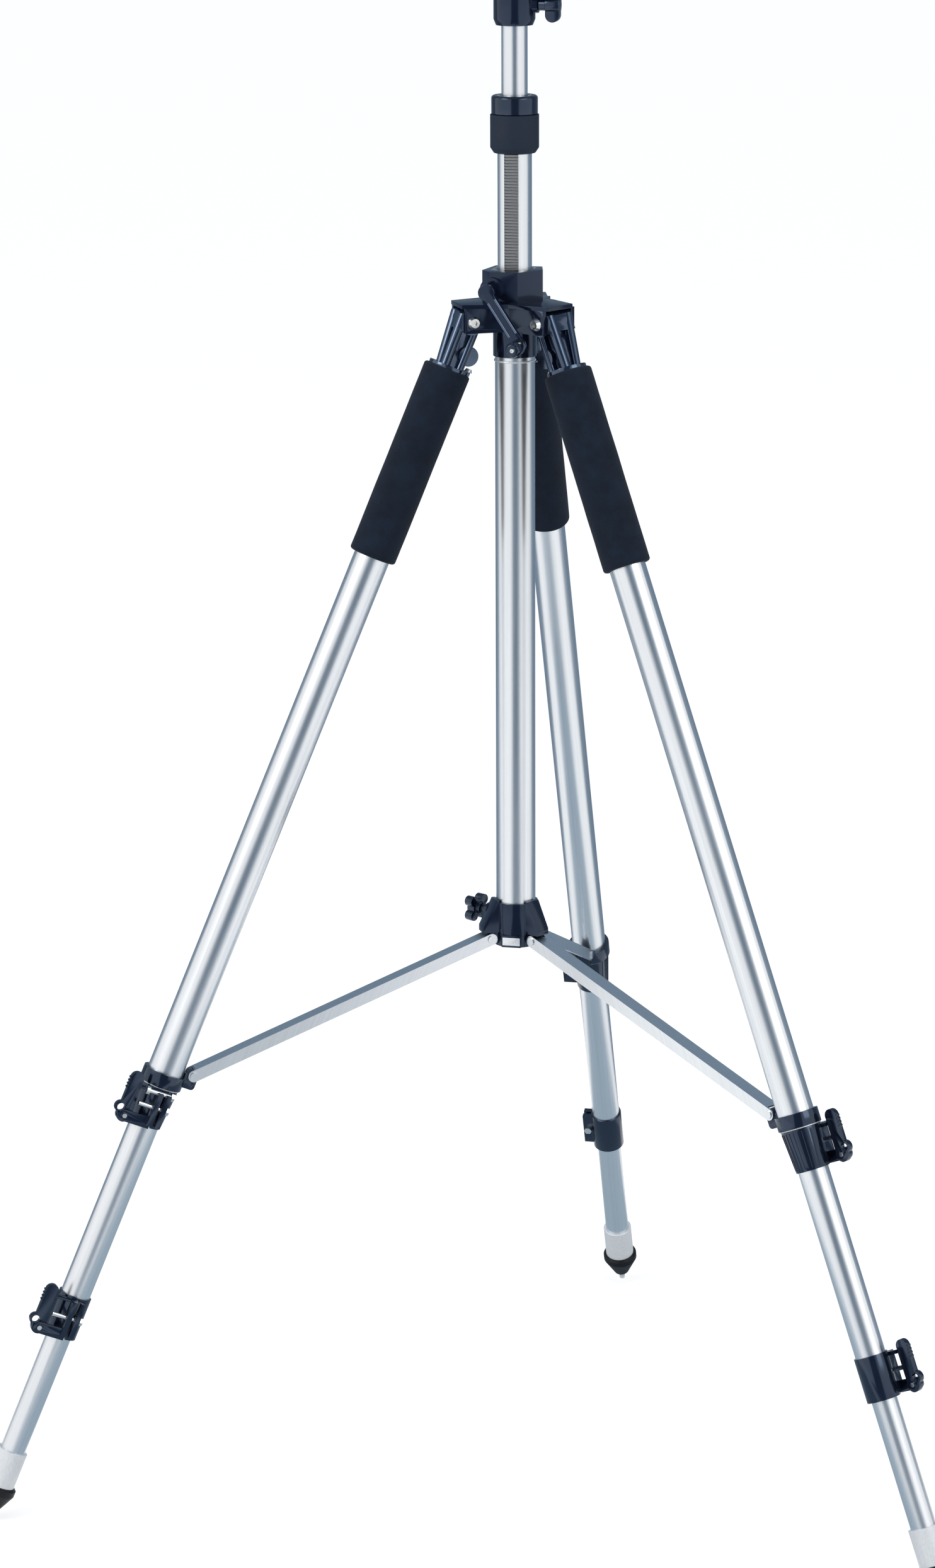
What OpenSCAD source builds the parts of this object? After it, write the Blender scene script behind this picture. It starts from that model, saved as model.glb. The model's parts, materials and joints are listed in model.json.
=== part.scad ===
// Elevating tripod: a geared column on three folding legs, each with two telescopic stages.
// Millimetres, +Z up. The origin is on the ground, under the column's axis.
// The back leg points along +Y. The rack, the gear case and the crank face -Y.

/* [Stance] */
// Angle between each leg and the vertical, in degrees
splay = 23.3; // [21:0.1:25]
// Radius from the column's axis to a leg's pivot
pivot_r = 42; // [42:0.5:46]
// Slope of the brace arms above level
arm_rise = 20.3; // [18:0.1:23]

/* [Leg tubes] */
// Outside diameter of the upper leg tube
upper_d = 31; // [30.5:0.1:32]
// Outside diameter of the middle leg tube
middle_d = 26; // [25:0.1:26.5]
// Outside diameter of the lower leg tube
lower_d = 22; // [21:0.1:22.5]
// Wall of every leg tube
leg_wall = 1.5; // [1.2:0.1:1.6]
// Distance along the leg from the pivot to the upper tube
head_len = 44; // [42:0.5:46]
// Length of the upper leg tube
upper_len = 663; // [630:1:710]
// Length of the middle leg tube
middle_len = 640; // [560:1:650]
// Length of the lower leg tube
lower_len = 620; // [560:1:630]
// Length of middle tube showing below the upper clamp
middle_show = 161; // [120:1:200]
// Length of lower tube showing below the lower clamp
lower_show = 110.5; // [80:0.5:150]

/* [Leg fittings] */
// Outside diameter of the foam grip
grip_d = 41; // [38:0.5:44]
// Length of the foam grip
grip_len = 171; // [120:1:220]
// Length of the upper clamp along the leg
upper_clamp_len = 49; // [47:0.5:56]
// Length of the lower clamp along the leg
lower_clamp_len = 38; // [36:0.5:46]
// Wall of a clamp's socket round the tube
clamp_wall = 3.2; // [2.6:0.1:4]
// Direction of a clamp's ears round the leg, from straight outward, in degrees
ear_turn = 90; // [60:1:120]
// Length of a clamp's flip lever from its pivot to its tip
lever_len = 39; // [34:0.5:46]
// Diameter of a clamp's draw bolts
bolt_d = 4; // [3:0.1:4.6]
// Length of the foot's ferrule
ferrule_len = 32; // [26:0.5:40]
// Largest diameter of the rubber foot
rubber_d = 32; // [29:0.5:36]
// Length of the rubber foot below the ferrule
rubber_len = 25; // [20:0.5:32]
// Length of the spike below the rubber foot
spike_len = 9; // [6:0.5:14]

/* [Spider] */
// Width of each fork, over its two ears
fork_w = 40; // [39:0.5:44]
// Width of a leg head between the ears
leg_head_w = 30.6; // [28:0.2:32]
// Diameter of a pivot screw's shank
pivot_d = 6; // [5:0.1:7]
// Height of the ears' lower edge below the pivots
ear_drop = 9; // [7:0.5:10]
// Height of the spider's flat top above the pivots
spider_top = 15; // [15:0.5:20]
// Length of the sleeve below the ears that holds the guide tube
sleeve_len = 23; // [18:0.5:30]

/* [Column] */
// Outside diameter of the guide tube
guide_d = 34; // [33.6:0.1:34.6]
// Outside diameter of the rack tube
column_d = 29; // [28.6:0.1:29.4]
// Outside diameter of the extension tube
extension_d = 22; // [20:0.1:22.2]
// Wall of the column's tubes
column_wall = 1.5; // [1.3:0.1:1.6]
// Length of the rack tube
column_len = 610; // [520:1:620]
// Length of the extension tube
extension_len = 492; // [380:1:560]
// Height of the collar's lower edge above the gear case
column_show = 97.5; // [94:0.5:140]
// Height of the head socket's lower edge above the collar
extension_show = 58; // [30:1:90]
// Width of the rack
rack_w = 12; // [9:0.1:12.4]
// How much shorter the toothed rack is than its tube
rack_short = 100; // [90:1:170]
// Tooth module of the rack and pinion
gear_module = 0.8; // [0.7:0.02:0.84]
// Number of teeth on the pinion
pinion_teeth = 12; // [11:1:12]

/* [Drive] */
// Height of the gear case above the spider's top
case_h = 26.5; // [24:0.5:34]
// Height of the crank's axis above the case's floor
crank_h = 12.4; // [11:0.1:14]
// How far the crank's axis stands to the left of the column's
crank_off = 13.5; // [13:0.1:14]
// Distance between the crank's shaft and its knob's pin
crank_len = 52; // [45:0.5:55]
// Tilt of the hanging crank towards +X, in degrees
crank_tilt = 33; // [0:1:40]
// Diameter of the crank's knob
crank_knob_d = 13; // [11:0.5:15]
// Length of the crank's knob
crank_knob_len = 27; // [20:0.5:34]

/* [Head] */
// Outside diameter of the collar's upper part
collar_d = 39; // [37:0.5:41]
// Outside diameter of the collar's twist ring
twist_d = 41; // [39:0.5:44]
// Height of the whole collar
collar_h = 48; // [46:0.5:56]
// Outside diameter of the head socket
socket_d = 35; // [32:0.5:38]
// Height of the head socket
socket_h = 52; // [44:0.5:60]
// Diameter of the head plate
plate_d = 90; // [70:1:110]
// Thickness of the head plate
plate_t = 9; // [6:0.5:12]
// Diameter of the instrument stud, 5/8 inch
stud_d = 15.875; // [12:0.005:20]
// Length of the instrument stud above the plate
stud_len = 22; // [18:0.5:28]

/* [Brace hub] */
// Radius from the column's axis to an arm's inner pin
hub_pin_r = 24; // [23.8:0.1:26]
// Width of a brace arm
arm_w = 14.5; // [13:0.1:16]
// Height of a brace arm's side walls
arm_h = 10; // [9:0.1:10.4]
// Wall of a brace arm
arm_wall = 1.5; // [1.2:0.1:1.8]
// Diameter of the arm pins
arm_pin_d = 4; // [3:0.1:4.6]
// Distance of an arm's outer pin inward of the leg's axis
lug_in = 23.9; // [23.5:0.1:26]
// Height of the arm's outer pin above the upper clamp's top
lug_up = 4.3; // [3.5:0.1:7]
// Outside diameter of the hub's sleeve
hub_d = 38; // [37.6:0.1:38.2]
// Height of the hub's sleeve above the arm pins
hub_up = 32.5; // [31:0.5:36]
// Radius from the column's axis to the lock knob's middle
lock_knob_r = 47; // [45:0.5:54]

/* [Hidden] */
$fn = 64;
// Radial clearance of a running fit, and of pieces that only stay clear
fit = 0.05;
clear = 0.3;
// Overlap of shapes that become one solid, and overshoot of cuts
sink = 0.5;
over = 1;

LEG_NAMES = ["left", "right", "back"];
LEG_TURNS = [210, 330, 90];
LEG_PIECES = ["leg_head", "upper_tube", "grip", "upper_clamp", "upper_bolts", "upper_lever", "middle_tube",
              "lower_clamp", "lower_bolts", "lower_lever", "lower_tube", "ferrule", "rubber_foot", "arm"];
CENTRE_PIECES = ["spider", "pivot_screws", "gear_case", "pinion", "crank", "crank_knob", "guide_tube",
                 "column_tube", "rack", "collar", "twist_ring", "extension_tube", "head_socket", "head_knob",
                 "head_plate", "head_stud", "hub", "lock_knob"];

// Finishes, as the object shows them
BLACK = [0.13, 0.16, 0.22];
MATTE = [0.17, 0.21, 0.27];
FOAM = [0.11, 0.13, 0.17];
SILVER = [0.78, 0.80, 0.82];
STEEL = [0.72, 0.73, 0.74];
WHITE = [0.86, 0.88, 0.90];
RUBBER = [0.08, 0.09, 0.11];

// Stations along a leg, measured from its pivot towards the foot
upper_end = head_len + upper_len;
socket_depth = 16;
lower_socket_depth = 15;
band_h = 12;
upper_clamp_top = upper_end - socket_depth;
upper_clamp_end = upper_clamp_top + upper_clamp_len;
lower_clamp_top = upper_clamp_end + middle_show;
lower_clamp_end = lower_clamp_top + lower_clamp_len;
middle_end = lower_clamp_top + lower_socket_depth;
ferrule_top = lower_clamp_end + lower_show;
ferrule_end = ferrule_top + ferrule_len;
rubber_end = ferrule_end + rubber_len;
spike_end = rubber_end + spike_len;
lower_end = ferrule_end - 4;
grip_top = head_len;
spike_tip_r = 2.6;
// Height of the leg pivots, with the spikes on the ground
pivot_h = spike_end * cos(splay) + spike_tip_r * sin(splay);

// Inside diameters and the flared ends that guide one tube in another
upper_in = upper_d - 2 * leg_wall;
middle_in = middle_d - 2 * leg_wall;
lower_in = lower_d - 2 * leg_wall;
guide_in = guide_d - 2 * column_wall;
column_in = column_d - 2 * column_wall;
flare_h = 8;
plug_len = 38;

// Brace: the arm's outer pin on the leg, and the hub height that the arm's length gives
lug_s = upper_clamp_top - lug_up;
lug_r = pivot_r + lug_s * sin(splay) - lug_in * cos(splay);
lug_z = pivot_h - lug_s * cos(splay) - lug_in * sin(splay);
arm_len = (lug_r - hub_pin_r) / cos(arm_rise);
hub_pin_z = lug_z + arm_len * sin(arm_rise);
tongue_w = arm_w - 2 * arm_wall - 2 * clear;
tongue_round = arm_h / 2 - 0.5;
web_gap = 4;
rivet_head_d = arm_pin_d + 3;
rivet_head_h = 1.2;
hub_drop = 6;

// Spider and guide tube
slot_w = leg_head_w + 2 * clear;
slot_from = pivot_r - upper_d / 2 - 1;
ear_end = pivot_r + 7.5;
cover_end = pivot_r + 9.5;
cover_wide = pivot_r - 20;
cover_tip = fork_w / 2 - 4.5;
cover_root = fork_w / 2 + 4;
cover_t = 3.5;
leg_boss_r = 11;
core_r = 23;
sleeve_d = guide_d + 3;
sleeve_end = pivot_h - ear_drop - sleeve_len;
guide_top = pivot_h - ear_drop + 2;
guide_end = hub_pin_z - hub_drop + 1;
screw_head_d = pivot_d + 4.7;
screw_head_h = 3.2;

// Rack and drive: the rack stands in a slot of its tube, its corners just inside the guide tube's bore,
// and the pinion rolls on its pitch line
pi = 3.14159265;
rack_len = column_len - rack_short;
rack_pitch = pi * gear_module;
tooth_up = gear_module;
tooth_down = 1.25 * gear_module;
rack_reach = guide_in / 2 - 0.36;
rack_tip = sqrt(rack_reach * rack_reach - rack_w * rack_w / 4);
rack_line = rack_tip - tooth_up;
rack_root = rack_line - tooth_down;
rack_back = extension_d / 2 + clear;
pinion_r = gear_module * pinion_teeth / 2;
pinion_y = -rack_line - pinion_r;
pinion_half = 4;
case_floor = pivot_h + spider_top;
case_top = case_floor + case_h;
drive_z = case_floor + crank_h;
// Bevel pair between the crank and the pinion, seen from the point where their axes cross
bevel_to = min(7.2, crank_off - rack_w / 2 - clear);
bevel_from = bevel_to - 2;
bevel_slope = 0.6;
bevel_gap = 0.15;
wheel_back = 3;
pinion_shaft_r = 2.5;
pinion_shaft_from = 22;
pinion_shaft_to = 10;
crank_shaft_r = 3;
boss_wall = 2.4;
boss_cap = 5.3;
boss_r = bevel_to + clear + boss_wall;
boss_y = pinion_y - bevel_to * bevel_slope - wheel_back - boss_cap;
arm_back_y = -(ear_end / 2 + fork_w / 2 * cos(30)) - 2.6;
crank_t = 6;
crank_pin_r = 2.2;
crank_knob_x = crank_len * sin(crank_tilt) - crank_off;
crank_knob_z = drive_z - crank_len * cos(crank_tilt);

// Column heights
collar_z = case_top + column_show;
collar_top = collar_z + collar_h;
twist_h = collar_h * 0.67;
collar_spigot_d = column_d + 4;
column_seat = twist_h - 3;
column_top = collar_z + column_seat;
extension_seat = 30;
socket_z = collar_top + extension_show;
extension_top = socket_z + extension_seat;
plate_z = socket_z + socket_h;
plate_hub_h = 6;
stud_shank_d = stud_d - 4;
relief = 1;
relief_d = 2.2 * stud_d;
stud_seat = plate_hub_h + plate_t - relief;
knob_up = 17;
knob_stem_z = socket_z + knob_up;
socket_boss_r = 7;
socket_boss_end = socket_d / 2 + 3;

// Placing a leg's pieces: local -Z runs down the leg, +X points outward, the pivot is the origin
module on_leg(turn) {
    rotate([0, 0, turn])
        translate([pivot_r, 0, pivot_h])
            rotate([0, -splay, 0])
                children();
}

// A tube between two stations on a leg
module leg_tube(from, to, d_out, d_in) {
    translate([0, 0, -to])
        difference() {
            cylinder(d = d_out, h = to - from);
            translate([0, 0, -over]) cylinder(d = d_in, h = to - from + 2 * over);
        }
}

// A solid rod between two stations on a leg
module leg_rod(from, to, d) {
    translate([0, 0, -to]) cylinder(d = d, h = to - from);
}

// A bar along Y, centred on the origin
module cross_rod(d, len) {
    rotate([90, 0, 0]) cylinder(d = d, h = len, center = true);
}

// A round bar between two points
module leg_bar(from, to, r) {
    way = to - from;
    translate(from)
        rotate([0, acos(way.z / norm(way)), atan2(way.y, way.x)])
            cylinder(r = r, h = norm(way));
}

// Leg head: a round boss between the ears, four round bars, a catch and a plug for the upper tube
module leg_head(turn) {
    bar_r = 4.2;
    bar_top = [grip_d / 2 - bar_r - 7.6, leg_head_w / 2 - bar_r, 4];
    bar_foot = [upper_d / 2 - bar_r - 5.7, 6.2, -head_len + 1];
    rib_r = 3.4;
    rib_x = -6.8;
    rib_y = 9.4;
    rib_from = pivot_d;
    web_y = 6;
    shoulder = [10, leg_head_w - 1, 8];
    rim_d = upper_d + 3;
    rim_t = 3;
    catch_r = 8.5;
    catch_at = [-9.5, 0, -28];
    catch_w = 23;
    lip = [6, 10, 3.5];
    color(BLACK) on_leg(turn) {
        difference() {
            cross_rod(2 * leg_boss_r, leg_head_w);
            cross_rod(pivot_d + 2 * fit, leg_head_w + 2 * over);
        }
        translate([0, -shoulder.y / 2, -shoulder.z - 2]) cube(shoulder);
        for (side = [-1, 1]) {
            leg_bar([bar_top.x, side * bar_top.y, bar_top.z],
                    [bar_foot.x, side * bar_foot.y, bar_foot.z], bar_r);
            translate([rib_x, side * rib_y, 0]) leg_rod(rib_from, head_len, 2 * rib_r);
        }
        translate([rib_x, -web_y, -head_len]) cube([bar_foot.x - rib_x, 2 * web_y, head_len - rib_from]);
        translate([rib_x, -rib_y, -head_len]) cube([rib_r, 2 * rib_y, head_len - rib_from]);
        translate(catch_at) cross_rod(2 * catch_r, catch_w);
        translate([-upper_d / 2 - lip.x / 2, -lip.y / 2, -head_len]) cube(lip);
        leg_rod(head_len - rim_t, head_len, rim_d);
        leg_rod(head_len - sink, head_len + plug_len, upper_in - 2 * fit);
    }
}

module upper_tube(turn) {
    color(SILVER) on_leg(turn) leg_tube(head_len, upper_end, upper_d, upper_in);
}

module grip(turn) {
    color(FOAM) on_leg(turn) leg_tube(grip_top, grip_top + grip_len, grip_d, upper_d + 2 * fit);
}

// A telescopic tube with a flared top that slides in the tube above
module sliding_tube(from, to, d_out, d_in, flare_d) {
    leg_tube(from, to, d_out, d_in);
    leg_tube(from, from + flare_h, flare_d, d_out - sink);
}

module middle_tube(turn) {
    color(SILVER) on_leg(turn)
        sliding_tube(middle_end - middle_len, middle_end, middle_d, middle_in, upper_in - 2 * fit);
}

module lower_tube(turn) {
    color(SILVER) on_leg(turn)
        sliding_tube(lower_end - lower_len, lower_end, lower_d, lower_in, middle_in - 2 * fit);
}

// Clamp sizes that its ears, bolts and lever share. On a clamp, +X runs along the ears and
// the draw bolts lie along Y, with the lever on the -Y side.
split_w = 3;
ear_t = 4.5;
ear_face = split_w / 2 + ear_t;
ear_over = 2.5;
bolt_off = 3;
bolt_head_d = bolt_d + 3.6;
bolt_head_h = 3;
draw_up = 20;
guide_up = 33;
pivot_up = 5;
draw_reach = 19;
guide_reach = 17;
lever_side = 11;
lever_t = 5;
lever_bar = 11.5;
lever_out = 25.5;
lever_eye_r = 6.5;
lug_side = lever_side + lever_t + clear;
lug_t = 3;
lug_round = 5;
rest_t = 3;
rest_w = 3.5;
rest_gap = 1.2;
upper_ring_d = upper_d + 2 * clamp_wall;
lower_ring_d = middle_d + 3;
function bolt_x(ring_d) = ring_d / 2 + bolt_off;

// A clamp between two stations: socket on the tube above, tapered split collar on the tube below
module clamp(top, end, depth, above_d, below_d, ring_d, band, guided) {
    groove = band > 0 ? 1 : 0;
    groove_depth = 2;
    step_in = band > 0 ? 1.7 : 0;
    ear_from = end - 4;
    ear_to = top + band + groove + 2;
    ear_x = bolt_x(ring_d) + bolt_d / 2 + ear_over;
    rest_end = lever_out - lever_bar / 2 - rest_gap;
    bolt_ups = guided ? [draw_up, guide_up] : [draw_up];
    difference() {
        union() {
            if (band > 0) {
                leg_rod(top, top + band, ring_d);
                leg_rod(top + band - sink, top + band + groove + sink, ring_d - 2 * groove_depth);
            }
            translate([0, 0, -end])
                cylinder(d1 = lower_ring_d, d2 = ring_d - 2 * step_in, h = end - top - band - groove);
            rotate([0, 0, ear_turn]) {
                translate([0, -ear_face, -ear_from]) cube([ear_x, 2 * ear_face, ear_from - ear_to]);
                translate([lever_side, -rest_end, -ear_to - rest_t]) cube([rest_w, rest_end, rest_t]);
                translate([lug_side, -lever_out, -end + pivot_up - lug_round])
                    cube([lug_t, lever_out, 2 * lug_round]);
                translate([lug_side, -lever_out, -end + pivot_up])
                    rotate([0, 90, 0]) cylinder(r = lug_round, h = lug_t);
            }
        }
        leg_rod(top - over, top + depth, above_d + 2 * fit);
        leg_rod(top, end + over, below_d + 2 * fit);
        rotate([0, 0, ear_turn]) {
            translate([0, -split_w / 2, -end - over])
                cube([ear_x + over, split_w, end + over - ear_to]);
            for (up = bolt_ups)
                translate([bolt_x(ring_d), 0, -end + up])
                    cross_rod(bolt_d + 2 * fit, 2 * ear_face + 2 * over);
            translate([lug_side - over, -lever_out, -end + pivot_up])
                rotate([0, 90, 0]) cylinder(d = bolt_d + 2 * fit, h = lug_t + 2 * over);
        }
    }
}

// A bolt across the ears with a hexagon nut on the far side. The short one has a round head.
module draw_bolt(reach, headed) {
    rotate([90, 0, 0]) {
        translate([0, 0, -ear_face]) cylinder(d = bolt_d, h = ear_face + reach);
        if (headed) translate([0, 0, reach - bolt_head_h]) cylinder(d = bolt_head_d, h = bolt_head_h);
        translate([0, 0, -ear_face - bolt_head_h]) cylinder(d = bolt_head_d, h = bolt_head_h, $fn = 6);
    }
}

// Draw bolt, guide bolt where the clamp is long enough, and the lever's cross pin
module clamp_bolts(end, ring_d, guided) {
    pin_out = 1;
    pin_from = lever_side - pin_out;
    rotate([0, 0, ear_turn]) {
        translate([bolt_x(ring_d), 0, -end + draw_up]) draw_bolt(draw_reach, false);
        if (guided) translate([bolt_x(ring_d), 0, -end + guide_up]) draw_bolt(guide_reach, true);
        translate([pin_from, -lever_out, -end + pivot_up])
            rotate([0, 90, 0]) cylinder(d = bolt_d, h = lug_side + lug_t + pin_out - pin_from);
    }
}

// Flip lever outside the ears: pivot eye low, ribbed thumb end upward, a finger ring beside the eye
module flip_lever(end) {
    rib_step = 3;
    rib_w = 1.4;
    rib_h = 1;
    rib_in = 0.6;
    rib_top = lever_len - 7;
    ring_at = [4.5, 5.5];
    ring_r = 5.4;
    ring_hole_r = 3.4;
    rotate([0, 0, ear_turn])
        translate([lever_side + lever_t, -lever_out, -end + pivot_up])
            rotate([90, 0, -90]) {
                linear_extrude(lever_t)
                    difference() {
                        union() {
                            circle(r = lever_eye_r);
                            translate([-lever_bar / 2, 0]) square([lever_bar, lever_len - lever_bar / 2]);
                            translate([0, lever_len - lever_bar / 2]) circle(d = lever_bar);
                            translate(ring_at) circle(r = ring_r);
                        }
                        circle(d = bolt_d + 2 * fit);
                        translate(ring_at) circle(r = ring_hole_r);
                    }
                for (k = [0:3])
                    translate([lever_bar / 2 - sink, rib_top - k * rib_step, rib_in])
                        cube([sink + rib_h, rib_w, lever_t - 2 * rib_in]);
            }
}

module upper_clamp(turn) {
    color(BLACK) on_leg(turn)
        difference() {
            union() {
                clamp(upper_clamp_top, upper_clamp_end, socket_depth, upper_d, middle_d, upper_ring_d,
                      band_h, true);
                brace_lug();
            }
            translate([-lug_in, 0, -lug_s]) cross_rod(arm_pin_d + 2 * fit, arm_w + 2 * over);
        }
}

// Tongue on the upper clamp that stands between the walls of a brace arm
module brace_lug() {
    drop = lug_up + 5;
    foot_r = 3.2;
    face = -lug_in - tongue_round;
    inner = -upper_d / 2 - 1;
    rotate([90, 0, 0])
        linear_extrude(tongue_w, center = true) {
            translate([-lug_in, -lug_s]) circle(r = tongue_round);
            polygon([[face, -lug_s], [face, -lug_s - drop], [face + foot_r, -lug_s - drop - foot_r],
                     [inner, -lug_s - drop - foot_r], [inner, -lug_s]]);
            translate([face + foot_r, -lug_s - drop]) circle(r = foot_r);
        }
}

module lower_clamp(turn) {
    color(BLACK) on_leg(turn)
        clamp(lower_clamp_top, lower_clamp_end, lower_socket_depth, middle_d, lower_d, lower_ring_d,
              0, false);
}

module upper_bolts(turn) {
    color(STEEL) on_leg(turn) clamp_bolts(upper_clamp_end, upper_ring_d, true);
}

module lower_bolts(turn) {
    color(STEEL) on_leg(turn) clamp_bolts(lower_clamp_end, lower_ring_d, false);
}

module upper_lever(turn) {
    color(BLACK) on_leg(turn) flip_lever(upper_clamp_end);
}

module lower_lever(turn) {
    color(BLACK) on_leg(turn) flip_lever(lower_clamp_end);
}

// Ferrule with the core rod and spike that the rubber foot sits on
ferrule_d = lower_d + 4.7;
core_d = 12;
core_end = rubber_end - 6;
spike_r = 3.6;
module ferrule(turn) {
    color(WHITE) on_leg(turn) {
        difference() {
            leg_rod(ferrule_top, ferrule_end, ferrule_d);
            leg_rod(ferrule_top - over, lower_end, lower_d + 2 * fit);
        }
        leg_rod(ferrule_end - sink, core_end, core_d);
        translate([0, 0, -spike_end])
            cylinder(r1 = spike_tip_r, r2 = spike_r, h = spike_end - core_end + sink);
    }
}

// Rubber foot: a short band that tapers to a blunt cone
module rubber_foot(turn) {
    band = 7;
    blunt_r = 7;
    edge = 2;
    color(RUBBER) on_leg(turn)
        translate([0, 0, -rubber_end])
            difference() {
                union() {
                    cylinder(r1 = blunt_r, d2 = rubber_d, h = rubber_len - band);
                    translate([0, 0, rubber_len - band]) cylinder(d = rubber_d, h = band - edge);
                    translate([0, 0, rubber_len - edge])
                        cylinder(d1 = rubber_d, d2 = rubber_d - 2 * edge, h = edge);
                }
                translate([0, 0, rubber_end - core_end]) cylinder(d = core_d + 2 * fit, h = rubber_len);
                translate([0, 0, -over])
                    cylinder(r = spike_r + 2 * fit, h = rubber_end - core_end + 2 * over);
            }
}

// Brace arm: a channel with its web on top and a riveted pin at each end
module arm(turn) {
    color(SILVER)
        rotate([0, 0, turn])
            translate([hub_pin_r, 0, hub_pin_z])
                rotate([0, arm_rise, 0]) {
                    for (side = [-1, 1])
                        translate([0, side * (arm_w - arm_wall) / 2 + arm_wall / 2, 0])
                            rotate([90, 0, 0])
                                linear_extrude(arm_wall) {
                                    translate([0, -arm_h / 2]) square([arm_len, arm_h]);
                                    for (x = [0, arm_len]) translate([x, 0]) circle(d = arm_h);
                                }
                    translate([web_gap, -arm_w / 2 + sink, arm_h / 2 - arm_wall])
                        cube([arm_len - 2 * web_gap, arm_w - 2 * sink, arm_wall]);
                    for (x = [0, arm_len])
                        translate([x, 0, 0]) {
                            cross_rod(arm_pin_d, arm_w + 2 * rivet_head_h);
                            for (side = [-1, 1])
                                translate([0, side * (arm_w + rivet_head_h) / 2, 0])
                                    cross_rod(rivet_head_d, rivet_head_h);
                        }
                }
}

// Spider: three forks round the column, with tapered covers above and the guide tube's sleeve below
module spider() {
    color(BLACK)
        difference() {
            union() {
                translate([0, 0, pivot_h - ear_drop]) cylinder(r = core_r, h = ear_drop + spider_top);
                translate([0, 0, sleeve_end]) cylinder(d = sleeve_d, h = sleeve_len + sink);
                for (turn = LEG_TURNS)
                    rotate([0, 0, turn]) {
                        translate([0, -fork_w / 2, pivot_h - ear_drop])
                            cube([ear_end, fork_w, ear_drop + spider_top - cover_t + sink]);
                        translate([0, 0, pivot_h + spider_top - cover_t])
                            linear_extrude(cover_t)
                                polygon([[0, -cover_root], [cover_wide, -cover_root], [cover_end, -cover_tip],
                                         [cover_end, cover_tip], [cover_wide, cover_root], [0, cover_root]]);
                    }
            }
            for (turn = LEG_TURNS)
                rotate([0, 0, turn]) {
                    translate([slot_from, -slot_w / 2, pivot_h - ear_drop - over])
                        cube([cover_end, slot_w, ear_drop + spider_top - cover_t + over]);
                    translate([pivot_r, 0, pivot_h]) cross_rod(pivot_d + 2 * fit, fork_w + 2 * over);
                }
            translate([0, 0, sleeve_end - over])
                cylinder(d = guide_in, h = case_floor - sleeve_end + 2 * over);
            translate([0, 0, sleeve_end - over])
                cylinder(d = guide_d + 2 * fit, h = guide_top - sleeve_end + over);
        }
}

// Button-head screws in the ears, two for each leg
module pivot_screws() {
    ear_in = slot_w / 2;
    head_taper = 1.5;
    hex_depth = 1.8;
    color(STEEL)
        for (turn = LEG_TURNS)
            rotate([0, 0, turn])
                for (side = [-90, 90])
                    translate([pivot_r, 0, pivot_h])
                        rotate([side, 0, 0])
                            difference() {
                                union() {
                                    translate([0, 0, ear_in])
                                        cylinder(d = pivot_d, h = fork_w / 2 - ear_in + sink);
                                    translate([0, 0, fork_w / 2])
                                        cylinder(d1 = screw_head_d, d2 = screw_head_d - 2 * head_taper,
                                                 h = screw_head_h);
                                }
                                translate([0, 0, fork_w / 2 + screw_head_h - hex_depth])
                                    cylinder(d = pivot_d - 2, h = hex_depth + over, $fn = 6);
                            }
}

// Gear case outline seen from above, with the crank's boss towards -Y
case_front = 26;
case_back = 17;
case_half = 25;
case_back_half = 20;
case_front_left = 16;
case_front_right = 8;
case_side_left = 14;
case_side_right = 4;
function case_outline() = [
    [-case_half, -case_side_left], [-case_front_left, -case_front], [case_front_right, -case_front],
    [case_half, -case_side_right], [case_back_half, case_back], [-case_back_half, case_back]
];

module gear_case() {
    cavity = bevel_to + clear;
    color(BLACK)
        difference() {
            union() {
                translate([0, 0, case_floor]) linear_extrude(case_h) polygon(case_outline());
                translate([-crank_off, 0, drive_z]) rotate([90, 0, 0]) cylinder(r = boss_r, h = -boss_y);
            }
            translate([0, 0, case_floor - over]) cylinder(d = column_d + 2 * fit, h = case_h + 2 * over);
            translate([-rack_w / 2 - clear, -rack_tip - clear, case_floor - over])
                cube([rack_w + 2 * clear, rack_tip, case_h + 2 * over]);
            translate([0, pinion_y, drive_z])
                rotate([0, 90, 0]) {
                    translate([0, 0, -2 * case_half])
                        cylinder(r = pinion_shaft_r + fit, h = 2 * case_half + pinion_shaft_to + clear);
                    translate([0, 0, bevel_from - crank_off - clear])
                        cylinder(r = pinion_r + tooth_up + clear,
                                 h = crank_off - bevel_from + pinion_half + 2 * clear);
                }
            translate([-crank_off, pinion_y, drive_z])
                rotate([90, 0, 0]) cylinder(r = cavity, h = bevel_to * bevel_slope + wheel_back + clear);
            translate([-crank_off, boss_y - over, drive_z])
                rotate([-90, 0, 0]) cylinder(r = crank_shaft_r + fit, h = pinion_y - boss_y);
        }
}

// Pinion: a toothed wheel on the rack's pitch line, its shaft and the smaller bevel wheel
module pinion() {
    step = 360 / pinion_teeth;
    root = pinion_r - tooth_down;
    tip = pinion_r + tooth_up;
    half_root = 0.62 * gear_module;
    half_tip = 0.22 * gear_module;
    color(STEEL)
        translate([0, pinion_y, drive_z]) {
            rotate([90, 0, 90])
                translate([0, 0, -pinion_half])
                    linear_extrude(2 * pinion_half) {
                        circle(r = root);
                        for (k = [0:pinion_teeth - 1])
                            rotate((k + 0.5) * step)
                                polygon([[root - sink, -half_root], [tip, -half_tip], [tip, half_tip],
                                         [root - sink, half_root]]);
                    }
            rotate([0, 90, 0]) {
                translate([0, 0, -pinion_shaft_from])
                    cylinder(r = pinion_shaft_r, h = pinion_shaft_from + pinion_shaft_to);
                translate([0, 0, bevel_from - crank_off])
                    cylinder(r1 = bevel_from * bevel_slope - bevel_gap,
                             r2 = bevel_to * bevel_slope - bevel_gap,
                             h = bevel_to - bevel_from);
            }
        }
}

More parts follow.
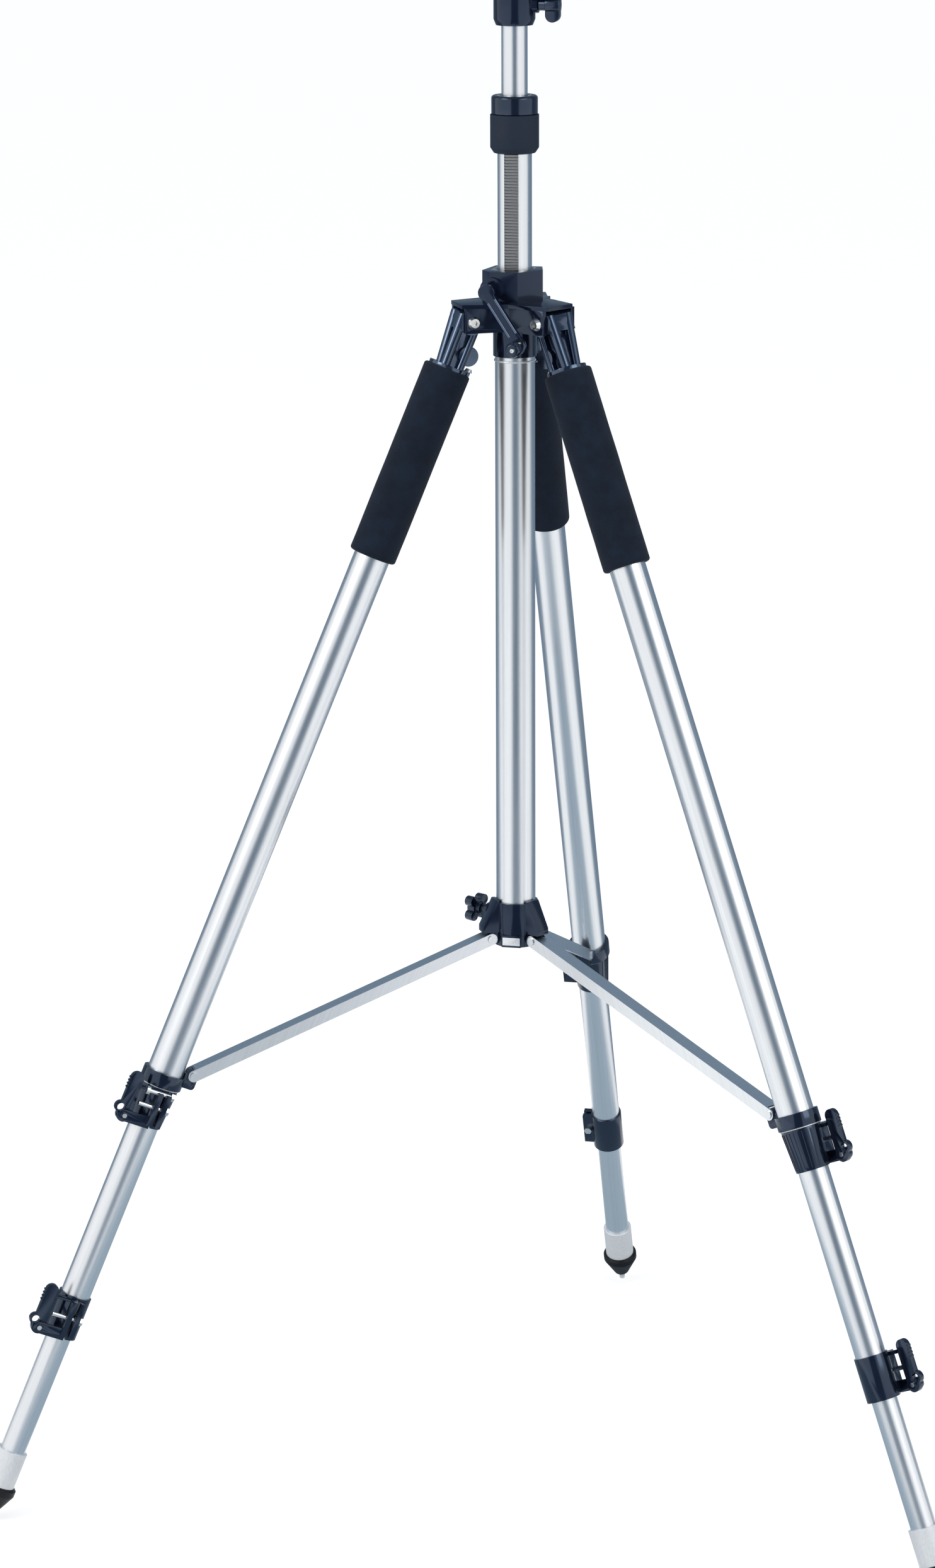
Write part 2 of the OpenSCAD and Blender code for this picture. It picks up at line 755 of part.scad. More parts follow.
// Crank: the larger bevel wheel, its shaft, the hanging arm and the knob's pin
module crank() {
    rim_from = bevel_from * bevel_slope + bevel_gap;
    rim_to = bevel_to * bevel_slope + bevel_gap;
    wheel_to = bevel_to * bevel_slope + wheel_back - clear;
    cup_wall = 0.6;
    cup_depth = pinion_r + tooth_up + clear;
    crank_w = 9;
    crank_hub_r = 7;
    crank_tip_d = 10;
    pin_len = crank_knob_len - 3;
    color(BLACK) {
        translate([-crank_off, pinion_y, drive_z])
            rotate([90, 0, 0])
                difference() {
                    union() {
                        translate([0, 0, rim_from])
                            cylinder(r1 = bevel_from, r2 = bevel_to, h = rim_to - rim_from);
                        translate([0, 0, rim_to]) cylinder(r = bevel_to, h = wheel_to - rim_to);
                    }
                    cylinder(r = bevel_from - cup_wall, h = cup_depth);
                }
        translate([-crank_off, pinion_y, drive_z])
            rotate([90, 0, 0])
                translate([0, 0, cup_depth])
                    cylinder(r = crank_shaft_r, h = pinion_y - arm_back_y - cup_depth + sink);
        translate([-crank_off, arm_back_y, drive_z])
            rotate([90, 0, 0])
                linear_extrude(crank_t) {
                    circle(r = crank_hub_r);
                    rotate(crank_tilt - 90) {
                        translate([0, -crank_w / 2]) square([crank_len, crank_w]);
                        translate([crank_len, 0]) circle(d = crank_tip_d);
                    }
                }
        translate([crank_knob_x, arm_back_y - crank_t + sink, crank_knob_z])
            rotate([90, 0, 0]) cylinder(r = crank_pin_r, h = pin_len + sink);
    }
}

module crank_knob() {
    end_r = 3;
    neck_h = 5;
    bore_short = 2;
    color(BLACK)
        translate([crank_knob_x, arm_back_y - crank_t - clear, crank_knob_z])
            rotate([90, 0, 0])
                difference() {
                    union() {
                        cylinder(d1 = crank_knob_d - end_r, d2 = crank_knob_d, h = neck_h);
                        translate([0, 0, neck_h])
                            cylinder(d = crank_knob_d, h = crank_knob_len - neck_h - end_r);
                        translate([0, 0, crank_knob_len - end_r])
                            cylinder(d1 = crank_knob_d, d2 = crank_knob_d - end_r, h = end_r);
                    }
                    translate([0, 0, -over])
                        cylinder(r = crank_pin_r + fit, h = crank_knob_len - bore_short + over);
                }
}

module guide_tube() {
    color(SILVER)
        difference() {
            translate([0, 0, guide_end]) cylinder(d = guide_d, h = guide_top - guide_end);
            translate([0, 0, guide_end - over])
                cylinder(d = guide_in, h = guide_top - guide_end + 2 * over);
        }
}

// Rack tube: slotted for the rack, with a flared lower end that runs in the guide tube
module column_tube() {
    bottom = column_top - column_len;
    color(SILVER)
        difference() {
            union() {
                translate([0, 0, bottom]) cylinder(d = column_d, h = column_len);
                translate([0, 0, bottom]) cylinder(d = guide_in - 2 * fit, h = flare_h);
            }
            translate([0, 0, bottom - over]) cylinder(d = column_in, h = column_len + 2 * over);
            translate([-rack_w / 2 - fit, -column_d, collar_z - rack_len - fit])
                cube([rack_w + 2 * fit, column_d, rack_len + 2 * fit]);
        }
}

// Rack: teeth spaced from the pinion's height, so that they mesh at rest
module rack() {
    half_root = 0.38 * rack_pitch;
    half_tip = 0.09 * rack_pitch;
    low = collar_z - rack_len - drive_z;
    high = collar_z - drive_z;
    first = ceil((low + half_root) / rack_pitch);
    last = floor((high - half_root) / rack_pitch);
    teeth = [for (k = [first:last]) each [
        [rack_root, k * rack_pitch - half_root], [rack_tip, k * rack_pitch - half_tip],
        [rack_tip, k * rack_pitch + half_tip], [rack_root, k * rack_pitch + half_root]]];
    color(STEEL)
        translate([rack_w / 2, 0, drive_z])
            rotate([90, 0, -90])
                linear_extrude(rack_w)
                    polygon(concat([[rack_back, low], [rack_root, low]], teeth,
                                   [[rack_root, high], [rack_back, high]]));
}

// Collar: fixed to the rack tube's top, bored for the extension tube
module collar() {
    lip_in = collar_z + twist_h + clear;
    edge = 1.5;
    color(BLACK)
        difference() {
            union() {
                translate([0, 0, collar_z]) cylinder(d = collar_spigot_d, h = lip_in - collar_z + sink);
                translate([0, 0, lip_in]) cylinder(d = collar_d, h = collar_top - lip_in - edge);
                translate([0, 0, collar_top - edge])
                    cylinder(d1 = collar_d, d2 = collar_d - 2 * edge, h = edge);
            }
            translate([0, 0, collar_z - over])
                cylinder(d = column_d + 2 * fit, h = column_top - collar_z + over);
            translate([0, 0, collar_z]) cylinder(d = extension_d + 2 * fit, h = collar_h + over);
        }
}

// Twist ring: turns on the collar to grip the extension tube
module twist_ring() {
    edge = 4.5;
    taper = 6;
    color(MATTE)
        translate([0, 0, collar_z])
            difference() {
                union() {
                    cylinder(d1 = twist_d - taper, d2 = twist_d, h = edge);
                    translate([0, 0, edge]) cylinder(d = twist_d, h = twist_h - edge);
                }
                translate([0, 0, -over]) cylinder(d = collar_spigot_d + 2 * fit, h = twist_h + 2 * over);
            }
}

module extension_tube() {
    color(SILVER)
        translate([0, 0, extension_top - extension_len])
            difference() {
                cylinder(d = extension_d, h = extension_len);
                translate([0, 0, -over])
                    cylinder(d = extension_d - 2 * column_wall, h = extension_len + 2 * over);
            }
}

// Head socket: closed at the top, with a threaded side bore for its knob
head_screw_r = 3;
module head_socket() {
    foot = 5;
    foot_in = 2;
    color(BLACK)
        difference() {
            union() {
                translate([0, 0, socket_z]) cylinder(d1 = socket_d - 2 * foot_in, d2 = socket_d, h = foot);
                translate([0, 0, socket_z + foot]) cylinder(d = socket_d, h = socket_h - foot);
                translate([0, 0, knob_stem_z]) rotate([0, 90, 0])
                    cylinder(r = socket_boss_r, h = socket_boss_end);
            }
            translate([0, 0, socket_z - over])
                cylinder(d = extension_d + 2 * fit, h = extension_top - socket_z + over);
            translate([0, 0, knob_stem_z]) rotate([0, 90, 0])
                cylinder(r = head_screw_r + fit, h = socket_d);
        }
}

// A wing knob along +Z: boss, two wings and the screw below it
module wing_knob(screw_r, screw_len, boss_d, boss_len, span, wing_t) {
    translate([0, 0, -screw_len]) cylinder(r = screw_r, h = screw_len + sink);
    cylinder(d = boss_d, h = boss_len);
    translate([0, 0, boss_len / 2])
        rotate([90, 0, 0])
            linear_extrude(wing_t, center = true) {
                square([span - boss_len, boss_len], center = true);
                for (side = [-1, 1])
                    translate([side * (span - boss_len) / 2, 0]) circle(d = boss_len);
            }
}

module head_knob() {
    seat = socket_boss_end + clear;
    neck_d = 10;
    neck_len = 6;
    color(BLACK)
        translate([seat, 0, knob_stem_z])
            rotate([0, 90, 0])
                translate([0, 0, neck_len]) {
                    wing_knob(head_screw_r, neck_len + seat - extension_d / 2 - clear,
                              boss_d = 14, boss_len = 12, span = 29, wing_t = 9);
                    translate([0, 0, -neck_len]) cylinder(d = neck_d, h = neck_len + sink);
                }
}

module head_plate() {
    edge = 1.5;
    hub_low_d = socket_d + 10;
    hub_high_d = socket_d + 16;
    color(BLACK)
        translate([0, 0, plate_z])
            difference() {
                union() {
                    cylinder(d1 = hub_low_d, d2 = hub_high_d, h = plate_hub_h);
                    translate([0, 0, plate_hub_h]) cylinder(d = plate_d, h = plate_t - edge);
                    translate([0, 0, plate_hub_h + plate_t - edge])
                        cylinder(d1 = plate_d, d2 = plate_d - 2 * edge, h = edge);
                }
                translate([0, 0, -over])
                    cylinder(d = stud_shank_d + 2 * fit, h = plate_hub_h + plate_t + 2 * over);
                translate([0, 0, stud_seat]) cylinder(d = relief_d, h = relief + over);
            }
}

// Instrument stud: plain at its major diameter, on a thinner shank that is screwed into the plate
module head_stud() {
    lead = 1.5;
    color(STEEL)
        translate([0, 0, plate_z]) {
            cylinder(d = stud_shank_d, h = stud_seat + sink);
            translate([0, 0, stud_seat]) cylinder(d = stud_d, h = stud_len - lead);
            translate([0, 0, stud_seat + stud_len - lead])
                cylinder(d1 = stud_d, d2 = stud_d - 2 * lead, h = lead);
        }
}

// Brace hub: sleeve on the guide tube, three tongues, the wings over them and the lock's boss
lock_turn = 150;
lock_up = 17;
lock_boss_r = 7;
lock_boss_end = hub_d / 2 + 13;
lock_screw_r = 3;
module hub() {
    wing_w = arm_w - 0.5;
    wing_floor = arm_h / 2 + 1;
    wing_t = 5;
    wing_top = hub_up + 2;
    wing_in = hub_d / 2 - 2;
    wing_end = hub_pin_r + 7.5;
    color(BLACK)
        translate([0, 0, hub_pin_z])
            difference() {
                union() {
                    translate([0, 0, -hub_drop]) cylinder(d = hub_d, h = hub_drop + hub_up);
                    for (turn = LEG_TURNS)
                        rotate([0, 0, turn]) {
                            rotate([90, 0, 0])
                                linear_extrude(wing_w, center = true)
                                    polygon([[wing_in, wing_top], [hub_d / 2 + over, wing_top],
                                             [wing_end, wing_floor + wing_t], [wing_end, wing_floor],
                                             [wing_in, wing_floor]]);
                            translate([wing_in + sink, -tongue_w / 2, -tongue_round])
                                cube([hub_pin_r - wing_in - sink, tongue_w,
                                      wing_floor + tongue_round + sink]);
                            translate([hub_pin_r, 0, 0]) cross_rod(2 * tongue_round, tongue_w);
                        }
                    rotate([0, 0, lock_turn]) translate([0, 0, lock_up]) rotate([0, 90, 0])
                        cylinder(r = lock_boss_r, h = lock_boss_end);
                }
                translate([0, 0, -hub_drop - over])
                    cylinder(d = guide_d + 2 * fit, h = hub_drop + hub_up + 2 * over);
                for (turn = LEG_TURNS)
                    rotate([0, 0, turn]) translate([hub_pin_r, 0, 0])
                        cross_rod(arm_pin_d + 2 * fit, arm_w + 2 * over);
                rotate([0, 0, lock_turn]) translate([0, 0, lock_up]) rotate([0, 90, 0])
                    cylinder(r = lock_screw_r + fit, h = lock_boss_end + over);
            }
}

// Lock knob: four lobes on a screw that bears on the guide tube
module lock_knob() {
    knob_t = 8;
    lobe_at = 9;
    lobe_r = 4.5;
    body_r = 7.5;
    neck_d = 11;
    neck_len = 4;
    back = lock_knob_r - knob_t / 2;
    screw_len = back - guide_d / 2 - clear;
    color(BLACK)
        rotate([0, 0, lock_turn])
            translate([back, 0, hub_pin_z + lock_up])
                rotate([0, 90, 0]) {
                    translate([0, 0, -screw_len]) cylinder(r = lock_screw_r, h = screw_len + sink);
                    translate([0, 0, -neck_len]) cylinder(d = neck_d, h = neck_len + sink);
                    linear_extrude(knob_t) {
                        circle(r = body_r);
                        for (k = [0:3])
                            rotate(45 + 90 * k) translate([lobe_at, 0]) circle(r = lobe_r);
                    }
                }
}

spider();
pivot_screws();
gear_case();
pinion();
crank();
crank_knob();
guide_tube();
column_tube();
rack();
collar();
twist_ring();
extension_tube();
head_socket();
head_knob();
head_plate();
head_stud();
hub();
lock_knob();
for (k = [0:2]) {
    turn = LEG_TURNS[k];
    leg = LEG_NAMES[k];
    leg_head(turn);
    upper_tube(turn);
    grip(turn);
    upper_clamp(turn);
    upper_bolts(turn);
    upper_lever(turn);
    middle_tube(turn);
    lower_clamp(turn);
    lower_bolts(turn);
    lower_lever(turn);
    lower_tube(turn);
    ferrule(turn);
    rubber_foot(turn);
    arm(turn);
}
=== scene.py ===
"""Looks of an elevating tripod, laid out as an add-on and run as a script.

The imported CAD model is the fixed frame. The operators give each CAD piece its finish, round the edges of
the castings and mouldings, and add the foam grips and the small bright trim.
"""

import json
import math

import bmesh
import bpy
from bpy.props import FloatProperty, FloatVectorProperty, IntProperty, PointerProperty
from mathutils import Euler, Matrix, Vector
from mathutils.noise import noise as field


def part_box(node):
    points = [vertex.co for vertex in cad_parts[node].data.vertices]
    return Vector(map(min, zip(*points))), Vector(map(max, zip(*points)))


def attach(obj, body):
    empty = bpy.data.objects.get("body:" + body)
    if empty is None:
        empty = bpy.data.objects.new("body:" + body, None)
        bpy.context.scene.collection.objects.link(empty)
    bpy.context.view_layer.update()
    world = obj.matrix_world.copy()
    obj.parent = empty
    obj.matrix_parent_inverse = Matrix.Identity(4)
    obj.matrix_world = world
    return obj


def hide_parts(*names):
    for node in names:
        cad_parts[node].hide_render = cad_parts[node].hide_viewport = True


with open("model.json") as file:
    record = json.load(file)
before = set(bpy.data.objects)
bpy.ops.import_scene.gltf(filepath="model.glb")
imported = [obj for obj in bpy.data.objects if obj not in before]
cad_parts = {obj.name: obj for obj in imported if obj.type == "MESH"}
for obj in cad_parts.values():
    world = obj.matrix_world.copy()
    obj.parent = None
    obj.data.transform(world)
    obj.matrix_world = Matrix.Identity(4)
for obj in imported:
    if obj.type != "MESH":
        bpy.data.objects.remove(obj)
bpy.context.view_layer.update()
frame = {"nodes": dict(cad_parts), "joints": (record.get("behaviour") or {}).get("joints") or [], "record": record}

bl_info = {
    "name": "Elevating tripod looks",
    "version": (1, 0, 0),
    "blender": (4, 5, 0),
    "location": "3D View > Sidebar > Tripod",
    "description": "Finishes, foam grips, trim and stage for the packed elevating tripod",
    "category": "Object",
}

NODES = frame["nodes"]
JOINTS = {joint["name"]: joint for joint in frame["joints"]}
BODY_OF = {node: body for body, members in frame["record"]["behaviour"]["bodies"].items() for node in members}
SLOT_OF = {part["node"]: part["material_slot"] for part in frame["record"]["subparts"]}
LEGS = ("left", "right", "back")

# The middle part of the noise, which shades and roughness are spread over
NOISE_LOW, NOISE_HIGH = 0.3, 0.7

# Index of refraction, roughness and grain per metre of the black skins
CASTING_SKIN = (1.6, 0.15, 900.0)
POLISHED_SKIN = (2.2, 0.15, 900.0)
CRANK_EDGE_SKIN = (2.8, 0.14, 900.0)
MOULDED_SKIN = (1.75, 0.16, 1400.0)

# Distance within which two points of a path are one
SAME_POINT = 1e-7

# Angle between two faces under which they are joined, and over which their edge is rounded or stays sharp
JOIN_UNDER = math.radians(0.6)
ROUND_OVER = math.radians(32.0)
SHARP_ROUNDED = math.radians(40.0)
SHARP_SHAPED = math.radians(50.0)
SHARP_TRIM = math.radians(35.0)


# Properties

class TripodSizes(bpy.types.PropertyGroup):
    """Sizes of the rounded edges and of the pieces that the CAD model leaves to the looks"""

    casting_edge: FloatProperty(
        name="Casting edge", description="Radius of the castings' edges", default=0.001, unit="LENGTH")
    moulding_edge: FloatProperty(
        name="Moulding edge", description="Radius of the mouldings' edges", default=0.0007, unit="LENGTH")
    edge_segments: IntProperty(
        name="Edge segments", description="Segments across a rounded edge", default=3, min=1, max=6)
    grip_lip: FloatProperty(
        name="Grip lip", description="Rounding of a foam grip's ends", default=0.0025, unit="LENGTH")
    grip_swell: FloatProperty(
        name="Grip swell", description="Unevenness of the foam's skin", default=0.0003, unit="LENGTH")
    guide_ring: FloatProperty(
        name="Guide ring", description="Half width of the bright ring under the spider's sleeve",
        default=0.0009, unit="LENGTH")
    clamp_lap: FloatProperty(
        name="Clamp lap", description="How far an upper clamp laps its upper tube", default=0.016,
        unit="LENGTH")
    clamp_band: FloatProperty(
        name="Clamp band", description="Height of an upper clamp's top band", default=0.012, unit="LENGTH")
    clamp_length: FloatProperty(
        name="Clamp length", description="Length of an upper clamp", default=0.049, unit="LENGTH")
    flute: FloatProperty(
        name="Flute", description="Radius of the flutes on an upper clamp", default=0.0004, unit="LENGTH")
    flute_step: FloatProperty(
        name="Flute step", description="Angle between two flutes", default=math.radians(13.0),
        subtype="ANGLE")
    crank_edge: FloatProperty(
        name="Crank edge", description="Radius of the raised edges of the crank's arm", default=0.0011,
        unit="LENGTH")
    clamp_radius: FloatProperty(
        name="Clamp radius", description="Radius of an upper clamp's top band", default=0.0187, unit="LENGTH")
    clamp_end_radius: FloatProperty(
        name="Clamp end radius", description="Radius of an upper clamp's lower end", default=0.0145,
        unit="LENGTH")
    hub_radius: FloatProperty(
        name="Hub radius", description="Radius of the hub's sleeve", default=0.019, unit="LENGTH")
    hub_plate: FloatVectorProperty(
        name="Hub plate", description="Width and height of the bare plate on the hub", size=2,
        default=(0.0155, 0.0072), unit="LENGTH")


class TripodFinishes(bpy.types.PropertyGroup):
    """Colours of the finishes, as linear values"""

    aluminium: FloatVectorProperty(
        name="Aluminium", description="Satin anodised tubes and braces", subtype="COLOR", size=4,
        default=(0.75, 0.775, 0.80, 1.0))
    casting: FloatVectorProperty(
        name="Casting", description="Glossy blue-black paint on the castings", subtype="COLOR", size=4,
        default=(0.0062, 0.0088, 0.022, 1.0))
    moulding: FloatVectorProperty(
        name="Moulding", description="Black plastic of the clamps and knobs", subtype="COLOR", size=4,
        default=(0.0048, 0.0068, 0.0155, 1.0))
    ring: FloatVectorProperty(
        name="Twist ring", description="Matte grip of the twist ring", subtype="COLOR", size=4,
        default=(0.0125, 0.0225, 0.043, 1.0))
    foam: FloatVectorProperty(
        name="Foam", description="Closed-cell foam of the leg grips", subtype="COLOR", size=4,
        default=(0.0085, 0.0155, 0.030, 1.0))
    steel: FloatVectorProperty(
        name="Steel", description="Bright plated screws, bolts, pinion and stud", subtype="COLOR", size=4,
        default=(0.74, 0.74, 0.73, 1.0))
    rack: FloatVectorProperty(
        name="Rack", description="Worn teeth of the rack", subtype="COLOR", size=4,
        default=(0.40, 0.405, 0.41, 1.0))
    gloss: FloatVectorProperty(
        name="Gloss", description="Blue cast of the reflections on the black pieces", subtype="COLOR", size=4,
        default=(0.52, 0.70, 1.0, 1.0))
    ferrule: FloatVectorProperty(
        name="Ferrule", description="Almost white ferrules above the feet", subtype="COLOR", size=4,
        default=(0.86, 0.885, 0.91, 1.0))
    rubber: FloatVectorProperty(
        name="Rubber", description="Moulded rubber of the feet", subtype="COLOR", size=4,
        default=(0.0060, 0.0072, 0.0098, 1.0))


class TripodStage(bpy.types.PropertyGroup):
    """Camera, floor and light"""

    camera_at: FloatVectorProperty(
        name="Camera", description="Camera position in the object's frame", subtype="TRANSLATION", size=3,
        default=(0.87659, -3.95443, 1.62308))
    camera_heading: FloatProperty(
        name="Heading", description="Direction that the camera faces, from +X towards +Y", subtype="ANGLE",
        default=math.radians(103.088))
    camera_pitch: FloatProperty(
        name="Pitch", description="How far the camera looks down", subtype="ANGLE",
        default=math.radians(13.907))
    camera_roll: FloatProperty(
        name="Roll", description="Turn of the camera about its line of sight", subtype="ANGLE",
        default=math.radians(-0.239))
    camera_lens: FloatProperty(
        name="Lens", description="Focal length for a 36 mm image height", default=110.882, unit="CAMERA")
    card_front: FloatVectorProperty(
        name="Front card", description="Shade that the tubes reflect from the camera's side", subtype="COLOR",
        size=3, default=(0.11, 0.17, 0.24))
    card_back: FloatVectorProperty(
        name="Back cards", description="Shade that the tubes' edges reflect", subtype="COLOR", size=3,
        default=(0.17, 0.24, 0.32))
    card_above: FloatVectorProperty(
        name="Card above", description="Shade that upward and downward faces reflect", subtype="COLOR",
        size=3, default=(0.36, 0.45, 0.53))
    floor_radius: FloatProperty(
        name="Floor radius", description="Radius of the pale floor", default=60.0, unit="LENGTH")


# Node helpers for the materials

def new_material(name):
    """A material with a Principled shader, returned with its tree and shader."""
    material = bpy.data.materials.new(name)
    material.use_nodes = True
    tree = material.node_tree
    return material, tree, tree.nodes["Principled BSDF"]


def object_coords(tree, scale, turn=(0.0, 0.0, 0.0)):
    """Object coordinates, turned back by an Euler angle and then multiplied by a scale per axis."""
    coords = tree.nodes.new("ShaderNodeTexCoord")
    mapping = tree.nodes.new("ShaderNodeMapping")
    mapping.vector_type = "TEXTURE"
    mapping.inputs["Rotation"].default_value = turn
    mapping.inputs["Scale"].default_value = [1.0 / value for value in scale]
    tree.links.new(coords.outputs["Object"], mapping.inputs["Vector"])
    return mapping.outputs["Vector"]


def noise(tree, coords, detail):
    """A noise value on the given coordinates."""
    node = tree.nodes.new("ShaderNodeTexNoise")
    node.inputs["Scale"].default_value = 1.0
    node.inputs["Detail"].default_value = detail
    node.inputs["Roughness"].default_value = 0.55
    tree.links.new(coords, node.inputs["Vector"])
    return node.outputs["Fac"]


def spread(tree, value, low, high):
    """A noise value mapped to a range, clamped at both ends."""
    node = tree.nodes.new("ShaderNodeMapRange")
    node.inputs["From Min"].default_value = NOISE_LOW
    node.inputs["From Max"].default_value = NOISE_HIGH
    node.inputs["To Min"].default_value = low
    node.inputs["To Max"].default_value = high
    tree.links.new(value, node.inputs["Value"])
    return node.outputs["Result"]


def tint(tree, value, colour, darker, lighter):
    """A colour that runs from a darker to a lighter shade of the one given."""
    ramp = tree.nodes.new("ShaderNodeValToRGB")
    for element, factor in zip(ramp.color_ramp.elements, (darker, lighter)):
        element.color = [min(1.0, channel * factor) for channel in colour[:3]] + [1.0]
    ramp.color_ramp.elements[0].position = NOISE_LOW
    ramp.color_ramp.elements[1].position = NOISE_HIGH
    tree.links.new(value, ramp.inputs["Fac"])
    return ramp.outputs["Color"]


def bump(tree, shader, value, strength, distance):
    """Adds a bump from a height value to the shader."""
    node = tree.nodes.new("ShaderNodeBump")
    node.inputs["Strength"].default_value = strength
    node.inputs["Distance"].default_value = distance
    tree.links.new(value, node.inputs["Height"])
    tree.links.new(node.outputs["Normal"], shader.inputs["Normal"])


# Finishes

def satin_aluminium(name, colour, turn):
    """Anodised aluminium with faint drawing lines along the turned Z axis."""
    material, tree, shader = new_material(name)
    lines = noise(tree, object_coords(tree, (700.0, 700.0, 5.0), turn), detail=2.0)
    cloud = noise(tree, object_coords(tree, (14.0, 14.0, 6.0), turn), detail=2.0)
    shade = tint(tree, lines, colour, darker=0.95, lighter=1.05)
    tree.links.new(shade, shader.inputs["Base Color"])
    tree.links.new(spread(tree, cloud, low=0.27, high=0.34), shader.inputs["Roughness"])
    shader.inputs["Metallic"].default_value = 1.0
    bump(tree, shader, lines, strength=0.12, distance=0.00002)
    return material


def glossy_black(name, colour, gloss, ior, roughness, grain):
    """Glossy blue-black with a fine uneven skin and blue-tinted reflections."""
    material, tree, shader = new_material(name)
    skin = noise(tree, object_coords(tree, [grain] * 3), detail=4.0)
    cloud = noise(tree, object_coords(tree, [45.0] * 3), detail=3.0)
    less, more = 0.85, 1.2
    shade = tint(tree, cloud, colour, darker=less, lighter=more)
    tree.links.new(shade, shader.inputs["Base Color"])
    tree.links.new(spread(tree, cloud, roughness * less, roughness * more), shader.inputs["Roughness"])
    shader.inputs["IOR"].default_value = ior
    shader.inputs["Specular Tint"].default_value = gloss
    bump(tree, shader, skin, strength=0.12, distance=0.00004)
    return material


def foam_finish(name, colour):
    """Closed-cell foam: matte, with fine pores and a faint bloom."""
    material, tree, shader = new_material(name)
    pores = tree.nodes.new("ShaderNodeTexVoronoi")
    pores.inputs["Scale"].default_value = 1.0
    tree.links.new(object_coords(tree, [1100.0] * 3), pores.inputs["Vector"])
    cloud = noise(tree, object_coords(tree, [70.0] * 3), detail=5.0)
    shade = tint(tree, cloud, colour, darker=0.7, lighter=1.35)
    tree.links.new(shade, shader.inputs["Base Color"])
    tree.links.new(spread(tree, cloud, low=0.85, high=0.97), shader.inputs["Roughness"])
    shader.inputs["Specular IOR Level"].default_value = 0.15
    shader.inputs["Sheen Weight"].default_value = 0.05
    shader.inputs["Sheen Roughness"].default_value = 0.6
    bump(tree, shader, pores.outputs["Distance"], strength=0.5, distance=0.0003)
    return material


def matte_grip(name, colour):
    """Matte moulding with a fine pebbled texture."""
    material, tree, shader = new_material(name)
    pebble = noise(tree, object_coords(tree, [1500.0] * 3), detail=2.0)
    cloud = noise(tree, object_coords(tree, [60.0] * 3), detail=3.0)
    shade = tint(tree, cloud, colour, darker=0.88, lighter=1.12)
    tree.links.new(shade, shader.inputs["Base Color"])
    tree.links.new(spread(tree, cloud, low=0.62, high=0.78), shader.inputs["Roughness"])
    shader.inputs["Specular IOR Level"].default_value = 0.3
    bump(tree, shader, pebble, strength=0.45, distance=0.00015)
    return material


def bright_steel(name, colour, roughness, metallic=1.0):
    """Plated or painted metal with fine uneven polish."""
    material, tree, shader = new_material(name)
    polish = noise(tree, object_coords(tree, (900.0, 900.0, 250.0)), detail=2.0)
    shade = tint(tree, polish, colour, darker=0.95, lighter=1.04)
    tree.links.new(shade, shader.inputs["Base Color"])
    dullness = spread(tree, polish, low=roughness * 0.8, high=roughness * 1.3)
    tree.links.new(dullness, shader.inputs["Roughness"])
    shader.inputs["Metallic"].default_value = metallic
    bump(tree, shader, polish, strength=0.08, distance=0.00003)
    return material


def foot_rubber(name, colour):
    """Moulded rubber with a dusty bloom."""
    material, tree, shader = new_material(name)
    dust = noise(tree, object_coords(tree, [160.0] * 3), detail=6.0)
    skin = noise(tree, object_coords(tree, [1300.0] * 3), detail=3.0)
    shade = tint(tree, dust, colour, darker=0.8, lighter=1.5)
    tree.links.new(shade, shader.inputs["Base Color"])
    tree.links.new(spread(tree, dust, low=0.42, high=0.6), shader.inputs["Roughness"])
    shader.inputs["Specular IOR Level"].default_value = 0.25
    bump(tree, shader, skin, strength=0.3, distance=0.0001)
    return material


# Meshes

def leg_direction(leg):
    """Unit vector down the leg."""
    return Vector(JOINTS[leg + "_middle_slide"]["axis"]).normalized()


def axis_turn(direction):
    """Euler angles that turn +Z to a direction."""
    return direction.to_track_quat("Z", "Y").to_euler()


def extent(node, direction):
    """Lowest and highest distance of a CAD node's points along a direction."""
    along = [direction.dot(point.co) for point in NODES[node].data.vertices]
    return min(along), max(along)


def leg_place(leg):
    """Matrix of a leg: origin where its grip starts, X outwards, Z up along the leg."""
    up = -leg_direction(leg)
    outward = Vector((-up.x, -up.y, 0.0))
    across = (outward - outward.dot(up) * up).normalized()
    side = up.cross(across)
    middle = [sum(extent(leg + "_grip", way)) / 2 for way in (across, side)]
    start = across * middle[0] + side * middle[1] + up * extent(leg + "_grip", up)[1]
    place = Matrix((across, side, up)).transposed().to_4x4()
    place.translation = start
    return place


def link(name, mesh, body, slot, *materials):
    """Links a new piece at the origin, riding on a body."""
    piece = bpy.data.objects.new(name, mesh)
    bpy.context.scene.collection.objects.link(piece)
    for material in materials:
        mesh.materials.append(material)
    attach(piece, body)
    return piece


def plain_mesh(piece):
    """The evaluated mesh of an object, with its modifiers applied."""
    bpy.context.view_layer.update()
    graph = bpy.context.evaluated_depsgraph_get()
    return bpy.data.meshes.new_from_object(piece.evaluated_get(graph), depsgraph=graph)


def merged_copy(node, name):
    """A copy of a CAD node's mesh with its points merged and its flat faces joined."""
    work = bmesh.new()
    work.from_mesh(NODES[node].data)
    bmesh.ops.remove_doubles(work, verts=work.verts, dist=0.000005)
    bmesh.ops.dissolve_limit(
        work, angle_limit=JOIN_UNDER, verts=work.verts, edges=work.edges, delimit={"NORMAL"})
    mesh = bpy.data.meshes.new(name)
    work.to_mesh(mesh)
    work.free()
    mesh.materials.clear()
    return mesh


